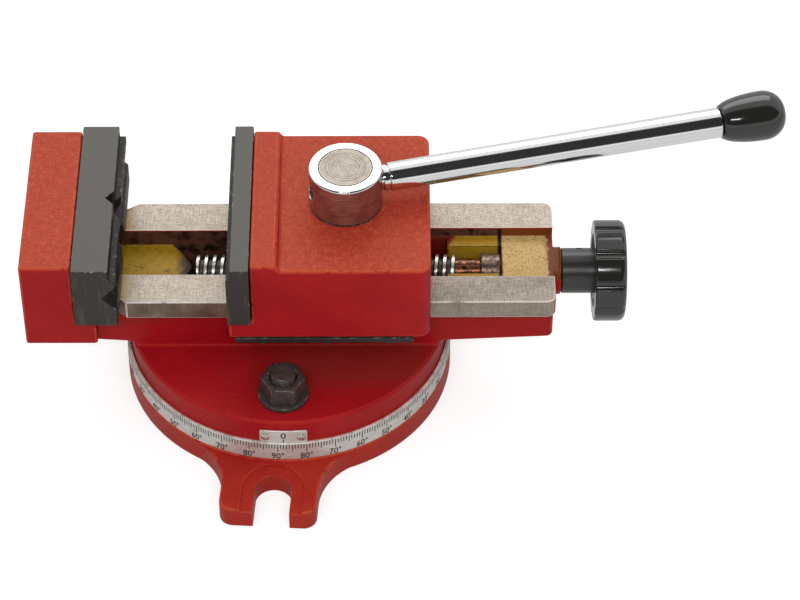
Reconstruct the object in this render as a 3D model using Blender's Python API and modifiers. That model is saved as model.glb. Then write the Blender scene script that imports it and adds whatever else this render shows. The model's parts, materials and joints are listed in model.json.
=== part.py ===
"""Drill press vise with a swivel base, a handwheel screw and a quick clamping lever.

The jaws open along X, the fixed jaw lies at -X and the handwheel at +X.
The origin is the swivel axis at the underside of the base, with Z up.
The vise is drawn as it stands in the photograph, half open and with the lever in its middle place.
"""
import math

import bmesh
import bpy
from mathutils import Matrix, Vector

MM = 0.001

# Gaps and allowances that all pieces share
GAP = 0.3 * MM
BITE = 0.5 * MM
OVERRUN = 3 * MM
EDGE = 0.6 * MM
MERGE = 0.01 * MM

# Facets of round shapes
DISC_SIDES = 60
ROUND_SIDES = 28
BOLT_SIDES = 20
SMALL_SIDES = 12
ARC_STEPS = 5

# Swivel base
BASE_STEP = 0.1 * MM
BASE_TURN = math.radians(-3.8)
BASE_SHOULDER_STEP = 0.4 * MM
RELIEF_DEPTH = 2 * MM
RELIEF_MARGIN = 9 * MM
LUG_WIDTH = 46.8 * MM
LUG_LENGTH = 31.7 * MM
LUG_THICKNESS = 12 * MM
LUG_CORNER = 6.5 * MM
LUG_FILLET = 32 * MM
LUG_SLOT_WIDTH = 17.5 * MM
LUG_SLOT_DEPTH = 23.6 * MM
LUG_SPOT_WIDTH = 29.8 * MM
LUG_SPOT_DEPTH = 1.2 * MM

# Scale ring round the top of the base
SCALE_TURN = math.radians(-2.7)
SCALE_STEP = 2 * MM
SCALE_LIFT = 1.3 * MM
SCALE_WALL = 1.5 * MM
SCALE_HEIGHT = 11.2 * MM

# Turntable and the T slot that clamps it
TABLE_RADIUS = 78.2 * MM
TABLE_THICKNESS = 12.8 * MM
TABLE_EDGE = 1 * MM
PIVOT_RADIUS = 8 * MM
PIVOT_GRIP = 12 * MM
BOLT_INSET = 18.2 * MM
BOLT_TURN = math.radians(-0.95)
BOLT_RADIUS = 6 * MM
BOLT_CLEARANCE = 0.6 * MM
BOLT_HEAD_RADIUS = 11 * MM
BOLT_HEAD_HEIGHT = 7.5 * MM
BOLT_TOP_ABOVE_NUT = 2.6 * MM
SLOT_FLOOR = 7 * MM
SLOT_ENTRY_ANGLE = math.radians(-35)
WASHER_RADIUS = 12.3 * MM
WASHER_THICKNESS = 2.4 * MM
NUT_FLATS = 19 * MM
NUT_HEIGHT = 10 * MM

# Index plate on the turntable rim
INDEX_TURN = math.radians(-0.7)
INDEX_WIDTH = 23 * MM
INDEX_HEIGHT = 7.8 * MM
INDEX_THICKNESS = 0.8 * MM
RIVET_SPACING = 17.1 * MM
RIVET_HEAD_RADIUS = 2.3 * MM
RIVET_HEAD_HEIGHT = 1 * MM
RIVET_SHANK_RADIUS = 1.2 * MM
RIVET_DEPTH = 5 * MM

# Vise body: guide rails on a web above the turntable
RAIL_ABOVE_TABLE = 36.9 * MM
RAIL_OVERHANG = 7 * MM
RAIL_DEPTH = 10.7 * MM
RAIL_RELIEF = 19.2 * MM
RAIL_RIGHT_X = 128.9 * MM
RAIL_LEFT_CHAMFER = 4 * MM
RAIL_RIGHT_CORNER = 4.5 * MM
WEB_LEFT_INSET = 5.5 * MM
WEB_RIGHT_INSET = 1.3 * MM
WEB_LEFT_HEIGHT = 5.9 * MM
WEB_RIGHT_HEIGHT = 5.3 * MM
WEB_ROOT_HEIGHT = 2.4 * MM
WEB_ROOT_INSET = 6 * MM
WEB_ROOT_SLOPE = 4 * MM

# Channel between the rails
CHANNEL_WIDTH = 30 * MM
CHANNEL_INSET = 13.2 * MM
CHANNEL_FLOOR_DEPTH = 9.8 * MM
POCKET_INSET = 43.2 * MM
POCKET_RIGHT_INSET = 3.7 * MM
POCKET_DEPTH = 27 * MM
POCKET_NOSE_LENGTH = 9 * MM
POCKET_NOSE_WIDTH = 10 * MM
SHELF_WIDTH = 32.8 * MM
SHELF_DEPTH = 5.5 * MM
END_BLOCK_LENGTH = 24.7 * MM
BOSS_RADIUS = 11.5 * MM
BOSS_LENGTH = 4.3 * MM

# Fixed jaw block at the left end of the body
BLOCK_LEFT_X = -123.45 * MM
BLOCK_LENGTH = 24.25 * MM
BLOCK_INSET = 2.7 * MM
BLOCK_TOP = 36.4 * MM
BLOCK_DROP = 14.6 * MM
BLOCK_FOOT_LENGTH = 9.9 * MM
CASTING_EDGE = 1.2 * MM

# Jaw plates
JAW_WIDTH = 100 * MM
PLATE_HEIGHT = 36 * MM
PLATE_LIFT = 0.9 * MM
PLATE_STEP_HEIGHT = 6.4 * MM
FIXED_PLATE_THICKNESS = 20.35 * MM
FIXED_PLATE_STEP = 2.85 * MM
MOVING_PLATE_THICKNESS = 11 * MM
MOVING_PLATE_STEP = 2 * MM
VEE_HALF_WIDTH = 7.4 * MM
VEE_DEPTH = 6.7 * MM
VEE_HEIGHT = 18.1 * MM
JAW_OPENING = 51.65 * MM

# Screws of the jaw plates
PLATE_SCREW_RADIUS = 4 * MM
PLATE_SCREW_SPACING = 60 * MM
PLATE_SCREW_HEIGHT = 18.1 * MM
FIXED_SCREW_HEAD_RADIUS = 6.5 * MM
FIXED_SCREW_HEAD_HEIGHT = 8 * MM
FIXED_SCREW_GRIP = 9 * MM
MOVING_SCREW_HEAD_HEIGHT = 5.2 * MM
MOVING_SCREW_GRIP = 16 * MM
HEAD_CLEARANCE = 0.5 * MM
SOCKET_RADIUS = 3.2 * MM
SOCKET_DEPTH_SHARE = 0.55
SOCKET_WIDTH_SHARE = 0.6

# Moving jaw casting, a saddle over the rails
SADDLE_LENGTH = 85 * MM
SADDLE_INSET = 3 * MM
SADDLE_CHEEK = 13 * MM
SADDLE_TOP = 33.8 * MM
SADDLE_STRIP_RISE = 2.9 * MM
SADDLE_STRIP_LENGTH = 12.2 * MM
SADDLE_STRIP_SLOPE = 1.7 * MM
SADDLE_DROP_STEP = 0.2 * MM
SADDLE_FOOT_LENGTH = 10.9 * MM
SADDLE_CORNER = 5.5 * MM
SADDLE_POCKET_TOP = 14 * MM

# Keeper plates that hook the saddle under the rails
KEEPER_LEFT_INSET = 2.7 * MM
KEEPER_RIGHT_INSET = 8 * MM
KEEPER_THICKNESS = 3.3 * MM
KEEPER_CLEARANCE = 1 * MM
KEEPER_SCREW_RADIUS = 2.2 * MM
KEEPER_SCREW_INSET = 6.5 * MM
KEEPER_SCREW_LENGTH = 8 * MM
KEEPER_HEAD_RADIUS = 4.3 * MM
KEEPER_HEAD_HEIGHT = 2.8 * MM
KEEPER_SCREW_SHARES = (0.15, 0.51, 0.865)

# Lead screw, left-hand trapezoidal thread
SCREW_DEPTH = 13.15 * MM
THREAD_RADIUS = 8 * MM
THREAD_PITCH = 4 * MM
THREAD_DEPTH = 2.1 * MM
THREAD_LEFT_INSET = 12.2 * MM
THREAD_STEPS = 10
CREST_SHARE = 0.34
FLANK_SHARE = 0.14
NECK_RADIUS = 6 * MM
NECK_LENGTH = 12.4 * MM
JOURNAL_RADIUS = 5 * MM
TROUGH_CLEARANCE = 0.7 * MM
COLLAR_STEP = 0.5 * MM
COLLAR_LENGTH = 10.1 * MM
COLLAR_PIN_TURN = math.radians(10)
PIN_RADIUS = 1.5 * MM

# Handwheel
HUB_RADIUS = 11 * MM
HUB_LENGTH = 17.5 * MM
WHEEL_RADIUS = 24.3 * MM
WHEEL_WIDTH = 15.2 * MM
WHEEL_DISH_RADIUS = 18 * MM
WHEEL_DISH_DEPTH = 6 * MM
WHEEL_LIP = 1 * MM
WHEEL_CORNER = 3.2 * MM
FLUTE_COUNT = 10
WHEEL_SIDES = 40
FLUTE_RADIUS = 3 * MM
FLUTE_DEPTH = 1.2 * MM
FLUTE_TURN = math.radians(8.8)
WHEEL_PIN_SHARE = 0.5
WHEEL_PIN_TURN = math.radians(55)
JOURNAL_END_INSET = 4 * MM

# Spindle nut that the eccentric pushes against
SPINDLE_NUT_LENGTH = 32 * MM
SPINDLE_NUT_SIDE_CLEARANCE = 0.5 * MM
SPINDLE_NUT_BOTTOM_CLEARANCE = 3 * MM
SPINDLE_NUT_TOP_CLEARANCE = 1 * MM
THREAD_CLEARANCE = 0.35 * MM
NUT_SLOT_FLOOR = -1 * MM
NUT_SLOT_CLEARANCE = 0.45 * MM

# Clamping lever and its eccentric shaft
LEVER_INSET = 44.77 * MM
LEVER_AZIMUTH = math.radians(13.2)
LEVER_LIMIT = math.radians(60)
ECCENTRICITY = 3 * MM
SHAFT_RADIUS = 12.7 * MM
SHAFT_DROP = 3 * MM
ECCENTRIC_PIN_RADIUS = 7 * MM
ECCENTRIC_PIN_BOTTOM = 0.8 * MM
LEVER_HUB_RADIUS = 17.45 * MM
LEVER_HUB_RISE = 22.7 * MM
LEVER_HUB_EDGE = 0.9 * MM
HUB_WASHER_THICKNESS = 0.6 * MM
CLIP_THICKNESS = 1 * MM
CLIP_REACH = 1.9 * MM
CLIP_GROOVE_DEPTH = 1.2 * MM
CLIP_MOUTH_WIDTH = 9 * MM
LEVER_RISE = 11.8 * MM
SHANK_RADIUS = 4.5 * MM
SHANK_REACH = 4 * MM
ARM_NECK_RADIUS = 6 * MM
ARM_NECK_LENGTH = 3.1 * MM
ARM_ROOT_RADIUS = 6.9 * MM
ARM_END_RADIUS = 7.4 * MM
ARM_EDGE = 1 * MM
ARM_END_REACH = 185.7 * MM
SPIGOT_RADIUS = 4 * MM
SPIGOT_LENGTH = 16 * MM
KNOB_LENGTH = 32.4 * MM
KNOB_NECK_RADIUS = 8.8 * MM
KNOB_RADIUS = 12.2 * MM
KNOB_WIDEST_SHARE = 0.66
KNOB_DOME_SHARE = 0.8
KNOB_LIP = 1 * MM

# Heights and places that follow from the sizes above
SCALE_RADIUS = TABLE_RADIUS + SCALE_STEP
BASE_RADIUS = SCALE_RADIUS + BASE_STEP
BASE_HEIGHT = LUG_THICKNESS + SCALE_LIFT + SCALE_HEIGHT
LUG_REACH = BASE_RADIUS + LUG_LENGTH
BOLT_CIRCLE = TABLE_RADIUS - BOLT_INSET
TABLE_BOTTOM = BASE_HEIGHT + GAP
TABLE_TOP = TABLE_BOTTOM + TABLE_THICKNESS
RAIL_TOP = TABLE_TOP + RAIL_ABOVE_TABLE
SCREW_Z = RAIL_TOP - SCREW_DEPTH
SADDLE_WIDTH = JAW_WIDTH - 2 * SADDLE_INSET
BLOCK_WIDTH = JAW_WIDTH - 2 * BLOCK_INSET
RAIL_WIDTH = SADDLE_WIDTH - 2 * SADDLE_CHEEK
WEB_WIDTH = RAIL_WIDTH - 2 * RAIL_OVERHANG
BLOCK_FACE_X = BLOCK_LEFT_X + BLOCK_LENGTH
RAIL_LEFT_X = BLOCK_FACE_X + RAIL_RELIEF
CHANNEL_LEFT_X = BLOCK_FACE_X + CHANNEL_INSET
POCKET_LEFT_X = BLOCK_FACE_X + POCKET_INSET
END_BLOCK_X = RAIL_RIGHT_X - END_BLOCK_LENGTH
NECK_RIGHT_X = END_BLOCK_X - COLLAR_LENGTH
THREAD_RIGHT_X = NECK_RIGHT_X - NECK_LENGTH
THREAD_LEFT_X = POCKET_LEFT_X + THREAD_LEFT_INSET
POCKET_RIGHT_X = THREAD_RIGHT_X - POCKET_RIGHT_INSET
FIXED_BACK_X = BLOCK_FACE_X + GAP
FIXED_FACE_X = FIXED_BACK_X + FIXED_PLATE_THICKNESS
MOVING_FACE_X = FIXED_FACE_X + JAW_OPENING
MOVING_BACK_X = MOVING_FACE_X + MOVING_PLATE_THICKNESS
SADDLE_LEFT_X = MOVING_BACK_X + GAP
SADDLE_RIGHT_X = SADDLE_LEFT_X + SADDLE_LENGTH
SADDLE_FOOT_X = SADDLE_LEFT_X - SADDLE_FOOT_LENGTH
SADDLE_STRIP_TOP = SADDLE_TOP + SADDLE_STRIP_RISE
SADDLE_DROP = RAIL_DEPTH + SADDLE_DROP_STEP
KEEPER_HOOK = RAIL_OVERHANG - KEEPER_CLEARANCE
KEEPER_LENGTH = SADDLE_LENGTH + SADDLE_FOOT_LENGTH - KEEPER_LEFT_INSET - KEEPER_RIGHT_INSET
LEVER_X = SADDLE_LEFT_X + LEVER_INSET
LEVER_HEIGHT = SADDLE_TOP + LEVER_RISE
LEVER_HUB_TOP = SADDLE_TOP + LEVER_HUB_RISE
SHAFT_BOTTOM = SADDLE_POCKET_TOP - SHAFT_DROP
SPINDLE_NUT_TOP = SHAFT_BOTTOM - SPINDLE_NUT_TOP_CLEARANCE
CLIP_RADIUS = SHAFT_RADIUS + CLIP_REACH
COLLAR_RADIUS = THREAD_RADIUS + COLLAR_STEP
CLAMP_TRAVEL = ECCENTRICITY * math.sin(LEVER_LIMIT)
BOSS_END_X = RAIL_RIGHT_X + BOSS_LENGTH
HUB_LEFT_X = BOSS_END_X + GAP


def clear_scene():
    """Remove whatever the file opened with."""
    for item in list(bpy.data.objects):
        bpy.data.objects.remove(item, do_unlink=True)


def make_collection(name):
    """Give the scene a collection of this name."""
    collection = bpy.data.collections.new(name)
    bpy.context.scene.collection.children.link(collection)
    return collection


def make_material(name, colour, roughness, metallic):
    """Make a Principled material of one finish."""
    material = bpy.data.materials.new(name)
    material.use_nodes = True
    shader = material.node_tree.nodes["Principled BSDF"]
    shader.inputs["Base Color"].default_value = (*colour, 1)
    shader.inputs["Roughness"].default_value = roughness
    shader.inputs["Metallic"].default_value = metallic
    material.diffuse_color = (*colour, 1)
    return material


def shade(mesh):
    """Shade smooth, with the real edges kept sharp."""
    mesh.shade_smooth()
    mesh.set_sharp_from_angle(angle=math.radians(32))


def add_object(name, mesh, matrix=None):
    """Put a mesh in the scene as a cutter or a join shape, until it is made a part."""
    thing = bpy.data.objects.new(name, mesh)
    cutters.objects.link(thing)
    thing.hide_render = True
    thing.display_type = "WIRE"
    if matrix is not None:
        thing.matrix_world = matrix
    return thing


def make_part(thing, name, material, parent=None):
    """Turn a shape into a named part of the vise, carried by its parent."""
    cutters.objects.unlink(thing)
    parts.objects.link(thing)
    thing.hide_render = False
    thing.display_type = "TEXTURED"
    thing.name = name
    thing.data.name = name
    thing.data.materials.clear()
    thing.data.materials.append(material)
    if parent is not None:
        world = thing.matrix_world.copy()
        thing.parent = parent
        thing.matrix_parent_inverse = parent.matrix_world.inverted()
        thing.matrix_world = world
    return thing


def baked(thing):
    """Apply an object's modifiers to its own mesh."""
    bpy.context.view_layer.update()
    graph = bpy.context.evaluated_depsgraph_get()
    mesh = bpy.data.meshes.new_from_object(thing.evaluated_get(graph))
    thing.modifiers.clear()
    thing.data = mesh
    shade(mesh)
    return thing


def box(name, low, high):
    """Make a box between two corners."""
    low = Vector(low)
    high = Vector(high)
    size = high - low
    shape = bmesh.new()
    matrix = Matrix.Translation((low + high) / 2) @ Matrix.Diagonal((*size, 1))
    bmesh.ops.create_cube(shape, size=1, matrix=matrix)
    mesh = bpy.data.meshes.new(name)
    shape.to_mesh(mesh)
    shape.free()
    return add_object(name, mesh)


def rod(name, start, end, radius, sides=ROUND_SIDES):
    """Make a cylinder from one point to another."""
    start = Vector(start)
    end = Vector(end)
    along = end - start
    turn = along.to_track_quat("Z", "Y").to_matrix().to_4x4()
    matrix = Matrix.Translation((start + end) / 2) @ turn
    shape = bmesh.new()
    bmesh.ops.create_cone(
        shape, cap_ends=True, segments=sides, radius1=radius, radius2=radius,
        depth=along.length, matrix=matrix)
    mesh = bpy.data.meshes.new(name)
    shape.to_mesh(mesh)
    shape.free()
    shade(mesh)
    return add_object(name, mesh)


def turned(name, profile, sides=ROUND_SIDES, matrix=None, closed=False):
    """Turn a profile of (radius, height) points that runs down its outer side."""
    mesh = bpy.data.meshes.new(name)
    count = len(profile)
    points = [(radius, 0, height) for radius, height in profile]
    edges = [(index, index + 1) for index in range(count - 1)]
    if closed:
        edges.append((count - 1, 0))
    mesh.from_pydata(points, edges, [])
    thing = add_object(name, mesh, matrix)
    screw = thing.modifiers.new("Turn", "SCREW")
    screw.axis = "Z"
    screw.steps = sides
    screw.render_steps = sides
    screw.use_merge_vertices = True
    screw.merge_threshold = MERGE
    return baked(thing)


def outline(name, splines, low, high, plane="XY"):
    """Extrude a flat outline from low to high, square to the XY, XZ or YZ plane."""
    curve = bpy.data.curves.new(name, "CURVE")
    curve.dimensions = "2D"
    curve.fill_mode = "BOTH"
    curve.extrude = (high - low) / 2
    for points in splines:
        spline = curve.splines.new("POLY")
        spline.points.add(len(points) - 1)
        for place, point in zip(spline.points, points):
            place.co = (*point, 0, 1)
        spline.use_cyclic_u = True
    flat = bpy.data.objects.new(name, curve)
    cutters.objects.link(flat)
    turns = {
        "XY": Matrix.Identity(4),
        "XZ": Matrix.Rotation(math.radians(90), 4, "X"),
        "YZ": Matrix.Rotation(math.radians(90), 4, "Z") @ Matrix.Rotation(math.radians(90), 4, "X"),
    }
    middle = (low + high) / 2
    if plane == "XZ":
        middle = -middle
    flat.matrix_world = turns[plane] @ Matrix.Translation((0, 0, middle))
    bpy.context.view_layer.update()
    graph = bpy.context.evaluated_depsgraph_get()
    mesh = bpy.data.meshes.new_from_object(flat.evaluated_get(graph))
    shape = bmesh.new()
    shape.from_mesh(mesh)
    bmesh.ops.remove_doubles(shape, verts=shape.verts, dist=MERGE)
    shape.to_mesh(mesh)
    shape.free()
    matrix = flat.matrix_world.copy()
    bpy.data.objects.remove(flat, do_unlink=True)
    shade(mesh)
    return add_object(name, mesh, matrix)


def boolean(target, tool, operation="DIFFERENCE"):
    """Cut a tool from a shape, join it or keep what both share."""
    step = target.modifiers.new(operation.title(), "BOOLEAN")
    step.operation = operation
    step.solver = "EXACT"
    step.object = tool
    return target


def cut(target, *tools):
    """Cut each tool from the target."""
    for tool in tools:
        boolean(target, tool)
    return target


def join(target, *tools):
    """Join each shape to the target."""
    for tool in tools:
        boolean(target, tool, "UNION")
    return target


def bevel(thing, width, segments=2):
    """Round the edges between faces that meet at more than 40 degrees."""
    step = thing.modifiers.new("Edges", "BEVEL")
    step.width = width
    step.segments = segments
    step.limit_method = "ANGLE"
    step.angle_limit = math.radians(40)
    step.harden_normals = False
    return thing


def arc(centre_x, centre_y, radius, start, end, steps=ARC_STEPS):
    """List the points of an arc, its ends included, with angles in radians."""
    points = []
    for step in range(steps + 1):
        angle = start + (end - start) * step / steps
        points.append((centre_x + radius * math.cos(angle), centre_y + radius * math.sin(angle)))
    return points


def about_z(angle):
    """Give the matrix of a turn about the swivel axis."""
    return Matrix.Rotation(angle, 4, "Z")


def along_x(x, z=0):
    """Give the matrix that lays a turned shape along X, its height 0 at x."""
    return Matrix.Translation((x, 0, z)) @ Matrix.Rotation(math.radians(90), 4, "Y")


def empty(name, place, parent=None):
    """Make an empty on a joint's axis."""
    marker = bpy.data.objects.new(name, None)
    marker.empty_display_size = TABLE_THICKNESS
    parts.objects.link(marker)
    marker.location = place
    bpy.context.view_layer.update()
    if parent is not None:
        marker.parent = parent
        marker.matrix_parent_inverse = parent.matrix_world.inverted()
        bpy.context.view_layer.update()
    return marker


def cap_screw(name, head_top, shank_end, head_radius, head_height, shank_radius, sides=SMALL_SIDES):
    """Make a socket cap screw between the top of its head and the end of its shank."""
    top = Vector(head_top)
    end = Vector(shank_end)
    along = (end - top).normalized()
    screw = rod(name, top, top + along * head_height, head_radius, sides)
    shank = rod(name + "_shank", top + along * (head_height - BITE), end, shank_radius, sides)
    depth = head_height * SOCKET_DEPTH_SHARE
    width = min(SOCKET_RADIUS, head_radius * SOCKET_WIDTH_SHARE)
    socket = rod(name + "_socket", top - along * OVERRUN, top + along * depth, width, 6)
    return cut(join(screw, shank), socket)


def lug_outline():
    """Trace the base plate: a disc with a filleted lug at the front and at the rear."""
    half = LUG_WIDTH / 2
    fillet_x = half + LUG_FILLET
    fillet_y = math.sqrt((BASE_RADIUS + LUG_FILLET) ** 2 - fillet_x ** 2)
    meet = math.atan2(fillet_y, fillet_x)
    straight = math.pi
    corner_x = half - LUG_CORNER
    corner_y = LUG_REACH - LUG_CORNER
    points = arc(0, 0, BASE_RADIUS, -meet, meet, DISC_SIDES // 3)
    points += arc(fillet_x, fillet_y, LUG_FILLET, straight + meet, straight, ARC_STEPS)[1:]
    points += arc(corner_x, corner_y, LUG_CORNER, 0, straight / 2)
    points += arc(-corner_x, corner_y, LUG_CORNER, straight / 2, straight)
    points += arc(-fillet_x, fillet_y, LUG_FILLET, 0, -meet, ARC_STEPS)[:-1]
    return points + [(-x, -y) for x, y in points]


def slot_outline(width, side):
    """Trace a slot with a round inner end that runs out over a lug's end."""
    half = width / 2
    centre_y = LUG_REACH - LUG_SLOT_DEPTH + LUG_SLOT_WIDTH / 2
    points = arc(0, -centre_y, half, 0, math.pi, 2 * ARC_STEPS)
    outside = LUG_REACH + OVERRUN
    points += [(-half, -outside), (half, -outside)]
    return [(side * x, side * y) for x, y in points]


def build_base():
    """Model the swivel base with its annular T slot, pivot bore and slotted lugs."""
    top = BASE_HEIGHT
    ring_floor = BASE_HEIGHT - SCALE_HEIGHT
    ring_seat = SCALE_RADIUS - SCALE_WALL - GAP
    shoulder = BASE_RADIUS - BASE_SHOULDER_STEP
    inside = shoulder - BITE
    bore = PIVOT_RADIUS + GAP
    bore_floor = BASE_HEIGHT - PIVOT_GRIP
    neck = BOLT_RADIUS + BOLT_CLEARANCE
    head = BOLT_HEAD_RADIUS + BOLT_CLEARANCE
    head_top = SLOT_FLOOR + BOLT_HEAD_HEIGHT + 2 * BOLT_CLEARANCE
    relief_in = PIVOT_RADIUS + 2 * RELIEF_MARGIN
    relief_out = BASE_RADIUS - RELIEF_MARGIN
    base = turned("base_disc", [
        (0, bore_floor), (bore, bore_floor), (bore, top),
        (BOLT_CIRCLE - neck, top), (BOLT_CIRCLE - neck, head_top), (BOLT_CIRCLE - head, head_top),
        (BOLT_CIRCLE - head, SLOT_FLOOR), (BOLT_CIRCLE + head, SLOT_FLOOR),
        (BOLT_CIRCLE + head, head_top), (BOLT_CIRCLE + neck, head_top), (BOLT_CIRCLE + neck, top),
        (ring_seat, top), (ring_seat, ring_floor), (shoulder, ring_floor),
        (shoulder, LUG_THICKNESS - BITE), (inside, LUG_THICKNESS - BITE), (inside, 0),
        (relief_out, 0), (relief_out, RELIEF_DEPTH), (relief_in, RELIEF_DEPTH), (relief_in, 0),
        (0, 0)], DISC_SIDES)
    hole = arc(0, 0, BOLT_CIRCLE + head + BITE, 0, 2 * math.pi, DISC_SIDES)[:-1]
    join(base, outline("base_lugs", [lug_outline(), hole], 0, LUG_THICKNESS))
    for side in (1, -1):
        cut(base, outline("lug_slot", [slot_outline(LUG_SLOT_WIDTH, side)],
                          -OVERRUN, LUG_THICKNESS + OVERRUN))
        cut(base, outline("lug_spot_face", [slot_outline(LUG_SPOT_WIDTH, side)],
                          LUG_THICKNESS - LUG_SPOT_DEPTH, LUG_THICKNESS + BITE))
    entry_x = BOLT_CIRCLE * math.cos(SLOT_ENTRY_ANGLE)
    entry_y = BOLT_CIRCLE * math.sin(SLOT_ENTRY_ANGLE)
    cut(base, rod("slot_entry", (entry_x, entry_y, SLOT_FLOOR + BITE),
                  (entry_x, entry_y, top + OVERRUN), head, ROUND_SIDES))
    base.matrix_world = about_z(BASE_TURN)
    turn_cutters(base, BASE_TURN)
    make_part(base, "swivel_base", red_paint, root)

    ring = turned("scale", [
        (SCALE_RADIUS, top), (SCALE_RADIUS, ring_floor + GAP),
        (SCALE_RADIUS - SCALE_WALL, ring_floor + GAP), (SCALE_RADIUS - SCALE_WALL, top)],
        DISC_SIDES, about_z(SCALE_TURN), closed=True)
    make_part(ring, "scale_ring", aluminium, root)


def turn_cutters(thing, angle):
    """Turn a piece's cutters and join shapes with it about the swivel axis."""
    for step in thing.modifiers:
        if step.type == "BOOLEAN":
            step.object.matrix_world = about_z(angle) @ step.object.matrix_world


def build_body():
    """Model the vise body: turntable, web, rails, fixed jaw block and screw bearing."""
    body = turned("table", [
        (0, TABLE_TOP), (TABLE_RADIUS - TABLE_EDGE, TABLE_TOP), (TABLE_RADIUS, TABLE_TOP - TABLE_EDGE),
        (TABLE_RADIUS, TABLE_BOTTOM), (0, TABLE_BOTTOM)], DISC_SIDES)

    half_web = WEB_WIDTH / 2
    web_left = BLOCK_LEFT_X + WEB_LEFT_INSET
    web_right = RAIL_RIGHT_X - WEB_RIGHT_INSET
    root_x = TABLE_RADIUS - WEB_ROOT_INSET
    slope_x = root_x + WEB_ROOT_SLOPE
    under_rail = RAIL_TOP - RAIL_DEPTH + BITE
    web = outline("web", [[
        (web_left, RAIL_TOP - BLOCK_DROP + BITE), (web_left, TABLE_TOP + WEB_LEFT_HEIGHT),
        (-slope_x, TABLE_TOP + WEB_ROOT_HEIGHT), (-root_x, TABLE_TOP - BITE),
        (root_x, TABLE_TOP - BITE), (slope_x, TABLE_TOP + WEB_ROOT_HEIGHT),
        (web_right, TABLE_TOP + WEB_RIGHT_HEIGHT), (web_right, under_rail),
        (RAIL_LEFT_X + BITE, under_rail), (BLOCK_FACE_X + BLOCK_FOOT_LENGTH - BITE, under_rail),
        (BLOCK_FACE_X, RAIL_TOP - BLOCK_DROP + BITE)]], -half_web, half_web, "XZ")

    half_rail = RAIL_WIDTH / 2
    corner = RAIL_RIGHT_CORNER
    right_x = RAIL_RIGHT_X - corner
    inner_left = BLOCK_FACE_X - BITE
    rails = outline("rails", [[
        (inner_left, -half_web), (RAIL_LEFT_X, -half_web), (RAIL_LEFT_X, RAIL_LEFT_CHAMFER - half_rail),
        (RAIL_LEFT_X + RAIL_LEFT_CHAMFER, -half_rail),
        *arc(right_x, corner - half_rail, corner, -math.pi / 2, 0),
        *arc(right_x, half_rail - corner, corner, 0, math.pi / 2),
        (RAIL_LEFT_X + RAIL_LEFT_CHAMFER, half_rail), (RAIL_LEFT_X, half_rail - RAIL_LEFT_CHAMFER),
        (RAIL_LEFT_X, half_web), (inner_left, half_web)]], RAIL_TOP - RAIL_DEPTH, RAIL_TOP)

    half_block = BLOCK_WIDTH / 2
    foot_top = RAIL_TOP + PLATE_LIFT - GAP
    block = outline("block", [[
        (BLOCK_LEFT_X, RAIL_TOP - BLOCK_DROP),
        (BLOCK_FACE_X + BLOCK_FOOT_LENGTH, RAIL_TOP - BLOCK_DROP),
        (BLOCK_FACE_X + BLOCK_FOOT_LENGTH, foot_top), (BLOCK_FACE_X, foot_top),
        (BLOCK_FACE_X, RAIL_TOP + BLOCK_TOP), (BLOCK_LEFT_X, RAIL_TOP + BLOCK_TOP)]],
        -half_block, half_block, "XZ")
    bevel(block, CASTING_EDGE)

    boss = rod("boss", (RAIL_RIGHT_X - WEB_RIGHT_INSET - BITE, 0, SCREW_Z),
               (BOSS_END_X, 0, SCREW_Z), BOSS_RADIUS)
    join(body, web, rails, block, boss)

    half_channel = CHANNEL_WIDTH / 2
    above = RAIL_TOP + BLOCK_TOP
    nose_x = POCKET_LEFT_X + POCKET_NOSE_LENGTH
    half_nose = POCKET_NOSE_WIDTH / 2
    pocket = outline("pocket", [[
        (POCKET_LEFT_X, -half_channel), (POCKET_RIGHT_X, -half_channel),
        (POCKET_RIGHT_X, half_channel), (POCKET_LEFT_X, half_channel),
        (nose_x, half_nose), (nose_x, -half_nose)]], RAIL_TOP - POCKET_DEPTH, above)
    channel = box("channel", (CHANNEL_LEFT_X, -half_channel, RAIL_TOP - CHANNEL_FLOOR_DEPTH),
                  (nose_x + OVERRUN, half_channel, RAIL_TOP + PLATE_LIFT))
    shelf_left = POCKET_RIGHT_X - OVERRUN
    shelf = box("shelf", (shelf_left, -SHELF_WIDTH / 2, RAIL_TOP - SHELF_DEPTH),
                (RAIL_RIGHT_X + OVERRUN, SHELF_WIDTH / 2, RAIL_TOP + OVERRUN))
    trough_radius = COLLAR_RADIUS + TROUGH_CLEARANCE
    trough = rod("trough", (shelf_left, 0, SCREW_Z), (END_BLOCK_X, 0, SCREW_Z), trough_radius)
    trough_mouth = box("trough_mouth", (shelf_left, -trough_radius, SCREW_Z),
                       (END_BLOCK_X, trough_radius, RAIL_TOP))
    bearing = rod("bearing", (END_BLOCK_X - OVERRUN, 0, SCREW_Z),
                  (BOSS_END_X + OVERRUN, 0, SCREW_Z), JOURNAL_RADIUS + GAP)
    cut(body, pocket, channel, shelf, trough, trough_mouth, bearing)

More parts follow.
